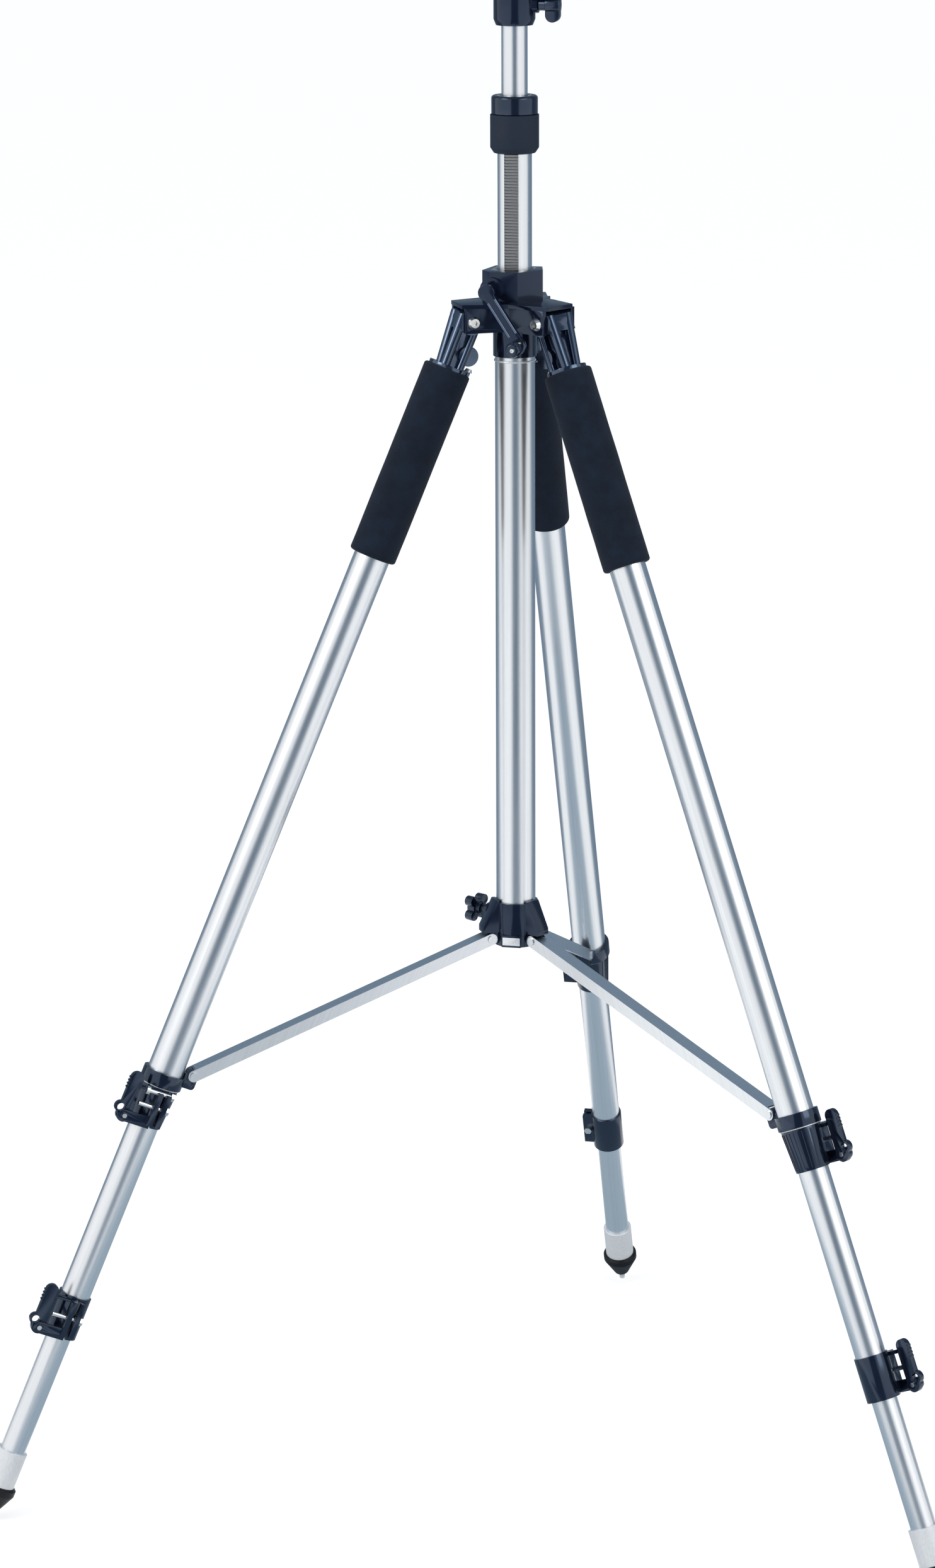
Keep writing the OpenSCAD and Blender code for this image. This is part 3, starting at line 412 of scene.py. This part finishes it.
def rounded(node, edge, segments, material):
    """Stands for a CAD node: the same form with its sharp edges rounded."""
    name = node + "_rounded"
    piece = bpy.data.objects.new(name, merged_copy(node, name))
    bpy.context.scene.collection.objects.link(piece)
    bevel = piece.modifiers.new("Round", "BEVEL")
    bevel.width = edge
    bevel.segments = segments
    bevel.limit_method = "ANGLE"
    bevel.angle_limit = ROUND_OVER
    bevel.use_clamp_overlap = True
    bevel.miter_outer = "MITER_ARC"
    mesh = plain_mesh(piece)
    bpy.data.objects.remove(piece)
    mesh.name = name
    mesh.shade_smooth()
    mesh.set_sharp_from_angle(angle=SHARP_ROUNDED)
    piece = link(name, mesh, BODY_OF[node], SLOT_OF[node], material)
    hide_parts(node)


def block(name, size, edge):
    """A box with rounded edges, centred on the origin."""
    work = bmesh.new()
    bmesh.ops.create_cube(work, size=1.0, matrix=Matrix.Diagonal((*size, 1.0)))
    bmesh.ops.bevel(work, geom=work.edges, offset=edge, segments=3, profile=0.5, affect="EDGES")
    bmesh.ops.recalc_face_normals(work, faces=work.faces)
    mesh = bpy.data.meshes.new(name)
    work.to_mesh(mesh)
    work.free()
    mesh.shade_smooth()
    mesh.set_sharp_from_angle(angle=SHARP_SHAPED)
    return mesh


def foam_sleeve(name, place, length, bore, radius, lip, swell):
    """A closed sleeve down from a leg's place, with rounded ends and a slightly uneven skin."""
    arc_steps, steps, around = 6, 36, 72
    waves_round, waves_along, share = 1.6, 45.0, 0.6
    arc = [math.pi / 2 * k / arc_steps for k in range(arc_steps + 1)]
    profile = [(radius - lip + lip * math.sin(a), -lip + lip * math.cos(a)) for a in arc]
    profile += [(radius, -lip - (length - 2 * lip) * k / steps) for k in range(1, steps)]
    profile += [(radius - lip + lip * math.cos(a), lip - length - lip * math.sin(a)) for a in arc]
    profile += [(bore, -length), (bore, 0.0)]
    work = bmesh.new()
    rings = []
    for reach, height in profile:
        ring = []
        for k in range(around):
            turn = 2 * math.pi * k / around
            x, y = math.cos(turn), math.sin(turn)
            spot = Vector((x * waves_round, y * waves_round, height * waves_along))
            skin = reach - swell * (share + share * field(spot)) if reach > bore else reach
            ring.append(work.verts.new(place @ Vector((skin * x, skin * y, height))))
        rings.append(ring)
    for ring, following in zip(rings, rings[1:] + rings[:1]):
        for k in range(around):
            after = (k + 1) % around
            work.faces.new((ring[k], following[k], following[after], ring[after]))
    bmesh.ops.recalc_face_normals(work, faces=work.faces)
    mesh = bpy.data.meshes.new(name)
    work.to_mesh(mesh)
    work.free()
    mesh.shade_smooth()
    mesh.set_sharp_from_angle(angle=SHARP_SHAPED)
    return mesh


# Trim by geometry nodes

def trim_tree(name, sizes):
    """A new tree with a geometry, the named sizes and a material as inputs, returned with its two ends."""
    tree = bpy.data.node_groups.new(name, "GeometryNodeTree")
    tree.interface.new_socket(name="Geometry", in_out="INPUT", socket_type="NodeSocketGeometry")
    for size in sizes:
        tree.interface.new_socket(name=size, in_out="INPUT", socket_type="NodeSocketFloat")
    tree.interface.new_socket(name="Material", in_out="INPUT", socket_type="NodeSocketMaterial")
    tree.interface.new_socket(name="Geometry", in_out="OUTPUT", socket_type="NodeSocketGeometry")
    return tree, tree.nodes.new("NodeGroupInput"), tree.nodes.new("NodeGroupOutput")


def close_tree(tree, start, end, shape):
    """Ends a tree: instances made real, smooth faces and the material."""
    real = tree.nodes.new("GeometryNodeRealizeInstances")
    smooth = tree.nodes.new("GeometryNodeSetShadeSmooth")
    coat = tree.nodes.new("GeometryNodeSetMaterial")
    tree.links.new(shape, real.inputs["Geometry"])
    tree.links.new(real.outputs["Geometry"], smooth.inputs["Geometry"])
    tree.links.new(smooth.outputs["Geometry"], coat.inputs["Geometry"])
    tree.links.new(start.outputs["Material"], coat.inputs["Material"])
    tree.links.new(coat.outputs["Geometry"], end.inputs["Geometry"])


def rod_tree():
    """Round rods along the edges of a mesh."""
    tree, start, end = trim_tree("rods", ("Radius",))
    path = tree.nodes.new("GeometryNodeMeshToCurve")
    section = tree.nodes.new("GeometryNodeCurvePrimitiveCircle")
    section.inputs["Resolution"].default_value = 12
    sweep = tree.nodes.new("GeometryNodeCurveToMesh")
    sweep.inputs["Fill Caps"].default_value = True
    tree.links.new(start.outputs["Geometry"], path.inputs["Mesh"])
    tree.links.new(start.outputs["Radius"], section.inputs["Radius"])
    tree.links.new(path.outputs["Curve"], sweep.inputs["Curve"])
    tree.links.new(section.outputs["Curve"], sweep.inputs["Profile Curve"])
    close_tree(tree, start, end, sweep.outputs["Mesh"])
    return tree


def screw_tree():
    """Button heads with a hexagon recess on the points of a mesh, each along its point's facing."""
    tree, start, end = trim_tree("screws", ("Radius",))
    height = 0.75
    head = tree.nodes.new("GeometryNodeMeshCone")
    for size, value in (("Vertices", 28), ("Radius Top", 0.68), ("Radius Bottom", 1.0), ("Depth", height)):
        head.inputs[size].default_value = value
    recess = tree.nodes.new("GeometryNodeMeshCylinder")
    for size, value in (("Vertices", 6), ("Radius", 0.4), ("Depth", 0.8)):
        recess.inputs[size].default_value = value
    lift = tree.nodes.new("GeometryNodeTransform")
    lift.inputs["Translation"].default_value = (0.0, 0.0, height)
    cut = tree.nodes.new("GeometryNodeMeshBoolean")
    cut.operation = "DIFFERENCE"
    facing = tree.nodes.new("GeometryNodeInputNamedAttribute")
    facing.data_type = "FLOAT_VECTOR"
    facing.inputs["Name"].default_value = "facing"
    aim = tree.nodes.new("FunctionNodeAlignRotationToVector")
    aim.axis = "Z"
    spread_out = tree.nodes.new("GeometryNodeInstanceOnPoints")
    tree.links.new(head.outputs["Mesh"], cut.inputs["Mesh 1"])
    tree.links.new(recess.outputs["Mesh"], lift.inputs["Geometry"])
    tree.links.new(lift.outputs["Geometry"], cut.inputs["Mesh 2"])
    tree.links.new(facing.outputs["Attribute"], aim.inputs["Vector"])
    tree.links.new(start.outputs["Geometry"], spread_out.inputs["Points"])
    tree.links.new(cut.outputs["Mesh"], spread_out.inputs["Instance"])
    tree.links.new(aim.outputs["Rotation"], spread_out.inputs["Rotation"])
    tree.links.new(start.outputs["Radius"], spread_out.inputs["Scale"])
    close_tree(tree, start, end, spread_out.outputs["Instances"])
    return tree


def path_mesh(name, paths):
    """A mesh of edges along lists of points. A list that ends where it starts is closed."""
    points, edges = [], []
    for path in paths:
        closed = (path[0] - path[-1]).length < SAME_POINT
        spots = path[:-1] if closed else path
        first = len(points)
        points += spots
        edges += [(first + k, first + k + 1) for k in range(len(spots) - 1)]
        if closed:
            edges.append((first + len(spots) - 1, first))
    mesh = bpy.data.meshes.new(name)
    mesh.from_pydata(points, edges, [])
    return mesh


def spot_mesh(name, spots):
    """A mesh of points, each with the direction that it faces."""
    mesh = bpy.data.meshes.new(name)
    mesh.from_pydata([at for at, facing in spots], [], [])
    ways = mesh.attributes.new("facing", "FLOAT_VECTOR", "POINT")
    for value, (at, facing) in zip(ways.data, spots):
        value.vector = facing
    return mesh


def trim(name, base, tree, radius, material, body, slot):
    """Runs a trim tree on a mesh of points or edges and links the result as a plain piece."""
    carrier = bpy.data.objects.new(name + "_base", base)
    bpy.context.scene.collection.objects.link(carrier)
    modifier = carrier.modifiers.new("Trim", "NODES")
    modifier.node_group = tree
    sockets = {item.name: item.identifier for item in tree.interface.items_tree if item.in_out == "INPUT"}
    modifier[sockets["Radius"]] = radius
    modifier[sockets["Material"]] = material
    mesh = plain_mesh(carrier)
    bpy.data.objects.remove(carrier)
    if not mesh.polygons:
        raise RuntimeError(name + " came out empty")
    mesh.name = name
    mesh.set_sharp_from_angle(angle=SHARP_TRIM)
    link(name, mesh, body, slot)


def circle(centre, axis_x, axis_y, radius):
    """Points round a closed circle."""
    steps = 72
    turns = [2 * math.pi * k / steps for k in range(steps)] + [0.0]
    return [centre + radius * (math.cos(a) * axis_x + math.sin(a) * axis_y) for a in turns]


def is_fluted(x, y):
    """Whether an upper clamp has flutes on the side that faces along x and y in the leg's place."""
    side_limit, inner_limit, corner_x, corner_y = 0.55, -0.75, 0.35, -0.2
    corner = x > corner_x and y > corner_y
    return y <= side_limit and x >= inner_limit and not corner


def finish(node, material):
    """Gives a CAD node its finish."""
    data = NODES[node].data
    data.materials.clear()
    data.materials.append(material)


def leg_nodes(piece):
    """The three legs' nodes of one kind."""
    return [leg + "_" + piece for leg in LEGS]


# Operators

class TRIPOD_OT_tubes(bpy.types.Operator):
    """Finish the column's tubes, the legs' tubes and the brace arms"""

    bl_idname = "tripod.tubes"
    bl_label = "Tubes and braces"

    def execute(self, context):
        colour = context.scene.tripod_finishes.aluminium
        column = satin_aluminium("satin_aluminium_column", colour, (0.0, 0.0, 0.0))
        for node in ("guide_tube", "column_tube", "extension_tube"):
            finish(node, column)
        for leg in LEGS:
            turn = axis_turn(leg_direction(leg))
            drawn = satin_aluminium("satin_aluminium_" + leg, colour, turn)
            for tube in ("upper_tube", "middle_tube", "lower_tube"):
                finish(leg + "_" + tube, drawn)
            finish(leg + "_arm", drawn)
        return {"FINISHED"}


class TRIPOD_OT_castings(bpy.types.Operator):
    """Round and paint the spider, gear case, hub, leg heads, crank and head"""

    bl_idname = "tripod.castings"
    bl_label = "Castings"

    def execute(self, context):
        sizes = context.scene.tripod_sizes
        finishes = context.scene.tripod_finishes
        paint = glossy_black("casting_paint", finishes.casting, finishes.gloss, *CASTING_SKIN)
        for node in ("spider", "gear_case", "hub", "crank", "head_socket", "head_plate"):
            rounded(node, sizes.casting_edge, sizes.edge_segments, paint)
        polished = glossy_black("polished_paint", finishes.moulding, finishes.gloss, *POLISHED_SKIN)
        for node in leg_nodes("leg_head"):
            rounded(node, sizes.casting_edge, sizes.edge_segments, polished)
        return {"FINISHED"}


class TRIPOD_OT_mouldings(bpy.types.Operator):
    """Round and finish the clamps, levers, knobs, collar and twist ring"""

    bl_idname = "tripod.mouldings"
    bl_label = "Mouldings"

    def execute(self, context):
        sizes = context.scene.tripod_sizes
        finishes = context.scene.tripod_finishes
        black = glossy_black("moulded_black", finishes.moulding, finishes.gloss, *MOULDED_SKIN)
        mouldings = ["lock_knob", "head_knob", "crank_knob", "collar"]
        for piece in ("upper_clamp", "lower_clamp", "upper_lever", "lower_lever"):
            mouldings += leg_nodes(piece)
        for node in mouldings:
            rounded(node, sizes.moulding_edge, sizes.edge_segments, black)
        matte = matte_grip("matte_ring", finishes.ring)
        rounded("twist_ring", sizes.moulding_edge, sizes.edge_segments, matte)
        return {"FINISHED"}


class TRIPOD_OT_hardware(bpy.types.Operator):
    """Finish the screws, bolts, rack, pinion and stud"""

    bl_idname = "tripod.hardware"
    bl_label = "Hardware"

    def execute(self, context):
        finishes = context.scene.tripod_finishes
        plated = bright_steel("plated_steel", finishes.steel, roughness=0.2)
        bolts = leg_nodes("upper_bolts") + leg_nodes("lower_bolts")
        for node in ["pivot_screws", "pinion", "head_stud"] + bolts:
            finish(node, plated)
        finish("rack", bright_steel("rack_steel", finishes.rack, roughness=0.34))
        return {"FINISHED"}


class TRIPOD_OT_feet(bpy.types.Operator):
    """Finish the ferrules and the rubber feet"""

    bl_idname = "tripod.feet"
    bl_label = "Feet"

    def execute(self, context):
        finishes = context.scene.tripod_finishes
        pale = bright_steel("ferrule_white", finishes.ferrule, roughness=0.4, metallic=0.12)
        rubber = foot_rubber("foot_rubber", finishes.rubber)
        for node in leg_nodes("ferrule"):
            finish(node, pale)
        for node in leg_nodes("rubber_foot"):
            finish(node, rubber)
        return {"FINISHED"}


class TRIPOD_OT_grips(bpy.types.Operator):
    """Make the foam grips"""

    bl_idname = "tripod.grips"
    bl_label = "Foam grips"

    def execute(self, context):
        sizes = context.scene.tripod_sizes
        foam = foam_finish("grip_foam", context.scene.tripod_finishes.foam)
        slack = 0.0001
        for leg in LEGS:
            place = leg_place(leg)
            across = place.to_3x3().col[0]
            low, high = extent(leg + "_grip", leg_direction(leg))
            inner, outer = extent(leg + "_upper_tube", across), extent(leg + "_grip", across)
            bore = (inner[1] - inner[0]) / 2 + slack
            mesh = foam_sleeve(
                leg + "_foam_grip", place, high - low, bore, (outer[1] - outer[0]) / 2, sizes.grip_lip,
                sizes.grip_swell)
            piece = link(leg + "_foam_grip", mesh, leg + "_leg", "foam", foam)
            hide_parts(leg + "_grip")
        return {"FINISHED"}


class TRIPOD_OT_column_trim(bpy.types.Operator):
    """Add the bright ring under the spider's sleeve and the bare plate on the hub, with its pad"""

    bl_idname = "tripod.column_trim"
    bl_label = "Column trim"

    def execute(self, context):
        sizes = context.scene.tripod_sizes
        finishes = context.scene.tripod_finishes
        bright = bright_steel("trim_bright", finishes.ferrule, roughness=0.3, metallic=0.4)
        ring_drop = 0.0038
        guide_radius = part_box("guide_tube")[1][0]
        sleeve_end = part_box("spider")[0][2]
        centre = Vector((0.0, 0.0, sleeve_end - ring_drop))
        ring = circle(centre, Vector((1.0, 0.0, 0.0)), Vector((0.0, 1.0, 0.0)), guide_radius)
        trim("guide_ring", path_mesh("guide_ring", [ring]), rod_tree(), sizes.guide_ring, bright,
             BODY_OF["guide_tube"], "satin_aluminium")

        hub_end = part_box("hub")[0][2]
        width, height = sizes.hub_plate
        margin_x, margin_z = 0.0009, 0.0017
        pad_depth, pad_edge, pad_in = 0.0024, 0.0006, 0.0006
        plate_depth, plate_edge, plate_in = 0.002, 0.0005, 0.0002
        middle = hub_end + height / 2 + margin_z
        pad = block("hub_pad", (width + 2 * margin_x, pad_depth, height + 2 * margin_z), pad_edge)
        pad.transform(Matrix.Translation((0.0, -sizes.hub_radius + pad_in, middle)))
        black = glossy_black("hub_pad_paint", finishes.casting, finishes.gloss, *CASTING_SKIN)
        link("hub_pad", pad, BODY_OF["hub"], "black_casting", black)
        plate = block("hub_plate", (width, plate_depth, height), plate_edge)
        plate.transform(Matrix.Translation((0.0, -sizes.hub_radius + plate_in, middle)))
        link("hub_plate", plate, BODY_OF["hub"], "steel", bright)
        return {"FINISHED"}


class TRIPOD_OT_leg_trim(bpy.types.Operator):
    """Add the catch screws of the leg heads and the flutes and bright seams of the upper clamps"""

    bl_idname = "tripod.leg_trim"
    bl_label = "Leg trim"

    def execute(self, context):
        sizes = context.scene.tripod_sizes
        finishes = context.scene.tripod_finishes
        bright = bright_steel("catch_bright", finishes.ferrule, roughness=0.25, metallic=0.5)
        black = glossy_black("flute_black", finishes.moulding, finishes.gloss, *MOULDED_SKIN)
        screws, rods = screw_tree(), rod_tree()
        catch_at, catch_radius = Vector((-0.0178, 0.0, 0.0034)), 0.0036
        seam_drop, seam_in, seam_radius = 0.0005, 0.0014, 0.0006
        flute_drop, flute_in, flute_short, flute_out = 0.003, 0.0017, 0.002, 0.0001
        flute_ends = ((sizes.clamp_radius - flute_in, sizes.clamp_band + flute_drop),
                      (sizes.clamp_end_radius + flute_out, sizes.clamp_length - flute_short))
        for leg in LEGS:
            place = leg_place(leg)
            across, side, up = place.to_3x3().col
            screw = spot_mesh(leg + "_catch_screw", [(place @ catch_at, up)])
            trim(leg + "_catch_screw", screw, screws, catch_radius, bright, leg + "_leg", "steel")

            top = extent(leg + "_upper_tube", -up)[1] - extent(leg + "_grip", -up)[0] - sizes.clamp_lap
            centre = place @ Vector((0.0, 0.0, -top - sizes.clamp_band - seam_drop))
            seam = circle(centre, across, side, sizes.clamp_radius - seam_in)
            trim(leg + "_clamp_seam", path_mesh(leg + "_clamp_seam", [seam]), rods, seam_radius, bright,
                 leg + "_leg", "steel")
            flutes = []
            for k in range(int(2 * math.pi / sizes.flute_step)):
                x, y = math.cos(k * sizes.flute_step), math.sin(k * sizes.flute_step)
                if is_fluted(x, y):
                    flutes.append([
                        place @ Vector((reach * x, reach * y, -top - drop)) for reach, drop in flute_ends])
            trim(leg + "_clamp_flutes", path_mesh(leg + "_clamp_flutes", flutes), rods, sizes.flute, black,
                 leg + "_leg", "black_moulding")
        return {"FINISHED"}


class TRIPOD_OT_crank_trim(bpy.types.Operator):
    """Add the raised edges of the crank's arm and the screw in its knob"""

    bl_idname = "tripod.crank_trim"
    bl_label = "Crank trim"

    def execute(self, context):
        sizes = context.scene.tripod_sizes
        finishes = context.scene.tripod_finishes
        pivot, pin = [Vector(JOINTS[name]["pos_m"]) for name in ("crank_turn", "crank_knob_spin")]
        knob_gap, edge_in, edge_aside, edge_from, edge_to = 0.0003, 0.2, 0.0034, 0.16, 0.8
        screw_in, screw_radius = 0.0004, 0.0024
        knob_low, knob_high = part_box("crank_knob")
        pivot.y = pin.y = knob_high[1] + knob_gap + sizes.crank_edge * edge_in
        arm = pin - pivot
        aside = arm.cross(Vector((0.0, 1.0, 0.0))).normalized() * edge_aside
        edges = [[pivot + arm * part + way * aside for part in (edge_from, edge_to)] for way in (-1.0, 1.0)]
        black = glossy_black("crank_edge_paint", finishes.casting, finishes.gloss, *CRANK_EDGE_SKIN)
        trim("crank_edges", path_mesh("crank_edges", edges), rod_tree(), sizes.crank_edge, black,
             "crank", "black_casting")
        tip = Vector((pin.x, knob_low[1] + screw_in, pin.z))
        bright = bright_steel("knob_screw_bright", finishes.steel, roughness=0.2)
        screw = spot_mesh("crank_knob_screw", [(tip, Vector((0.0, -1.0, 0.0)))])
        trim("crank_knob_screw", screw, screw_tree(), screw_radius, bright, "crank_knob", "steel")
        return {"FINISHED"}


class TRIPOD_OT_stage(bpy.types.Operator):
    """Set the floor, the light and the camera"""

    bl_idname = "tripod.stage"
    bl_label = "Stage"

    def execute(self, context):
        scene = context.scene
        stage = scene.tripod_stage
        scene.view_settings.view_transform = "Standard"
        make_floor(stage.floor_radius)
        make_world(scene)
        make_lamps()
        make_cards(stage)
        make_camera(scene, stage)
        return {"FINISHED"}


def larger(tree, first, second):
    """The larger of two values."""
    node = tree.nodes.new("ShaderNodeMath")
    node.operation = "MAXIMUM"
    tree.links.new(first, node.inputs[0])
    tree.links.new(second, node.inputs[1])
    return node.outputs["Value"]


def make_floor(radius):
    """A round pale floor that glows for the camera and for reflections, and keeps the shadow."""
    glow_strength = 0.63
    work = bmesh.new()
    bmesh.ops.create_circle(work, cap_ends=True, radius=radius, segments=64)
    mesh = bpy.data.meshes.new("floor")
    work.to_mesh(mesh)
    work.free()
    material, tree, shader = new_material("pale_floor")
    shader.inputs["Base Color"].default_value = (0.62, 0.62, 0.62, 1.0)
    shader.inputs["Roughness"].default_value = 1.0
    shader.inputs["Specular IOR Level"].default_value = 0.0
    shader.inputs["Emission Color"].default_value = (1.0, 1.0, 1.0, 1.0)
    rays = tree.nodes.new("ShaderNodeLightPath")
    glow = tree.nodes.new("ShaderNodeMath")
    glow.operation = "MULTIPLY"
    glow.inputs[1].default_value = glow_strength
    tree.links.new(larger(tree, rays.outputs["Is Camera Ray"], rays.outputs["Is Glossy Ray"]), glow.inputs[0])
    tree.links.new(glow.outputs["Value"], shader.inputs["Emission Strength"])
    mesh.materials.append(material)
    floor = bpy.data.objects.new("floor", mesh)
    bpy.context.scene.collection.objects.link(floor)


def make_world(scene):
    """A white surround for the camera and reflections, and an even grey light for the rest."""
    world = bpy.data.worlds.new("studio")
    world.use_nodes = True
    tree = world.node_tree
    seen = tree.nodes["Background"]
    seen.inputs["Color"].default_value = (1.0, 1.0, 1.0, 1.0)
    seen.inputs["Strength"].default_value = 1.0
    even = tree.nodes.new("ShaderNodeBackground")
    even.inputs["Color"].default_value = (0.94, 0.97, 1.0, 1.0)
    even.inputs["Strength"].default_value = 0.6
    rays = tree.nodes.new("ShaderNodeLightPath")
    direct = larger(tree, rays.outputs["Is Camera Ray"], rays.outputs["Is Glossy Ray"])
    mix = tree.nodes.new("ShaderNodeMixShader")
    tree.links.new(larger(tree, direct, rays.outputs["Is Transmission Ray"]), mix.inputs["Fac"])
    tree.links.new(even.outputs["Background"], mix.inputs[1])
    tree.links.new(seen.outputs["Background"], mix.inputs[2])
    tree.links.new(mix.outputs["Shader"], tree.nodes["World Output"].inputs["Surface"])
    scene.world = world


def make_lamps():
    """Soft boxes at the upper left and right."""
    target = Vector((0.0, 0.0, 0.7))
    for name, at, power, size in (
            ("key_light", (-2.6, -2.8, 3.2), 60.0, 2.0),
            ("fill_light", (3.0, -1.6, 2.6), 30.0, 2.0)):
        light = bpy.data.lights.new(name, "AREA")
        light.energy = power
        light.size = size
        lamp = bpy.data.objects.new(name, light)
        lamp.location = at
        lamp.rotation_euler = (target - Vector(at)).to_track_quat("-Z", "Y").to_euler()
        bpy.context.scene.collection.objects.link(lamp)


def make_card(name, shade, corners):
    """A dim card that only reflections see."""
    material, _, shader = new_material(name)
    shader.inputs["Base Color"].default_value = (0.0, 0.0, 0.0, 1.0)
    shader.inputs["Specular IOR Level"].default_value = 0.0
    shader.inputs["Emission Color"].default_value = (*shade, 1.0)
    shader.inputs["Emission Strength"].default_value = 1.0
    mesh = bpy.data.meshes.new(name)
    mesh.from_pydata(corners, [], [(0, 1, 2, 3)])
    mesh.materials.append(material)
    card = bpy.data.objects.new(name, mesh)
    for way in ("visible_camera", "visible_diffuse", "visible_shadow", "visible_transmission"):
        setattr(card, way, False)
    bpy.context.scene.collection.objects.link(card)


def make_cards(stage):
    """Dim cards round, above and below the object, so that the tubes show soft bands along their length."""
    front = math.atan2(stage.camera_at[1], stage.camera_at[0])
    near, away, top, floor_gap = 1.0, 3.0, 4.5, 0.004
    for name, angle, width, shade in (
            ("card_front", 2.0, 2.1, stage.card_front),
            ("card_back_right", 138.0, 5.4, stage.card_back),
            ("card_back_left", -146.0, 4.0, stage.card_back)):
        turn = Matrix.Rotation(front + math.radians(angle), 3, "Z")
        make_card(name, shade, [
            turn @ Vector((away, side * width / 2, height))
            for side, height in ((-1.0, 0.0), (1.0, 0.0), (1.0, top), (-1.0, top))])
    for name, angle, near_width, far_width, shade in (
            ("card_floor", 2.0, 1.2, 2.1, stage.card_front),
            ("card_floor_right", 142.0, 2.2, 3.6, stage.card_back),
            ("card_floor_left", -142.0, 2.2, 3.6, stage.card_back)):
        turn = Matrix.Rotation(front + math.radians(angle), 3, "Z")
        ends = ((near, -near_width), (away, -far_width), (away, far_width), (near, near_width))
        make_card(name, shade, [turn @ Vector((reach, width / 2, floor_gap)) for reach, width in ends])
    for name, height, width, depth in (("card_under", 0.003, 0.7, 1.3), ("card_above", 4.2, 9.0, 9.0)):
        make_card(name, stage.card_above, [
            (width * x, depth * y, height) for x, y in ((-0.5, -0.5), (0.5, -0.5), (0.5, 0.5), (-0.5, 0.5))])


def make_camera(scene, stage):
    """A camera at the photograph's viewing angle."""
    data = bpy.data.cameras.new("photo_camera")
    data.lens = stage.camera_lens
    data.sensor_width = 36.0
    data.sensor_fit = "AUTO"
    data.clip_end = 200.0
    camera = bpy.data.objects.new("photo_camera", data)
    level = Euler((math.pi / 2 - stage.camera_pitch, 0.0, stage.camera_heading - math.pi / 2)).to_matrix()
    roll = Matrix.Rotation(stage.camera_roll, 3, "Z")
    camera.matrix_world = Matrix.Translation(stage.camera_at) @ (level @ roll).to_4x4()
    scene.collection.objects.link(camera)
    scene.camera = camera


STEPS = (TRIPOD_OT_tubes, TRIPOD_OT_castings, TRIPOD_OT_mouldings, TRIPOD_OT_hardware, TRIPOD_OT_feet,
         TRIPOD_OT_grips, TRIPOD_OT_column_trim, TRIPOD_OT_leg_trim, TRIPOD_OT_crank_trim, TRIPOD_OT_stage)


class TRIPOD_PT_panel(bpy.types.Panel):
    """Lists the steps that dress the tripod"""

    bl_idname = "TRIPOD_PT_panel"
    bl_label = "Elevating tripod"
    bl_space_type = "VIEW_3D"
    bl_region_type = "UI"
    bl_category = "Tripod"

    def draw(self, context):
        for group in (context.scene.tripod_sizes, context.scene.tripod_finishes, context.scene.tripod_stage):
            for name in group.__annotations__:
                self.layout.prop(group, name)
        for step in STEPS:
            self.layout.operator(step.bl_idname)


GROUPS = {"tripod_sizes": TripodSizes, "tripod_finishes": TripodFinishes, "tripod_stage": TripodStage}


def register():
    for name, group in GROUPS.items():
        bpy.utils.register_class(group)
        setattr(bpy.types.Scene, name, PointerProperty(type=group))
    for step in STEPS + (TRIPOD_PT_panel,):
        bpy.utils.register_class(step)


def unregister():
    for step in (TRIPOD_PT_panel,) + STEPS[::-1]:
        bpy.utils.unregister_class(step)
    for name, group in GROUPS.items():
        delattr(bpy.types.Scene, name)
        bpy.utils.unregister_class(group)


def main():
    register()
    bpy.ops.tripod.tubes()
    bpy.ops.tripod.castings()
    bpy.ops.tripod.mouldings()
    bpy.ops.tripod.hardware()
    bpy.ops.tripod.feet()
    bpy.ops.tripod.grips()
    bpy.ops.tripod.column_trim()
    bpy.ops.tripod.leg_trim()
    bpy.ops.tripod.crank_trim()
    bpy.ops.tripod.stage()


if __name__ == "__main__":
    main()
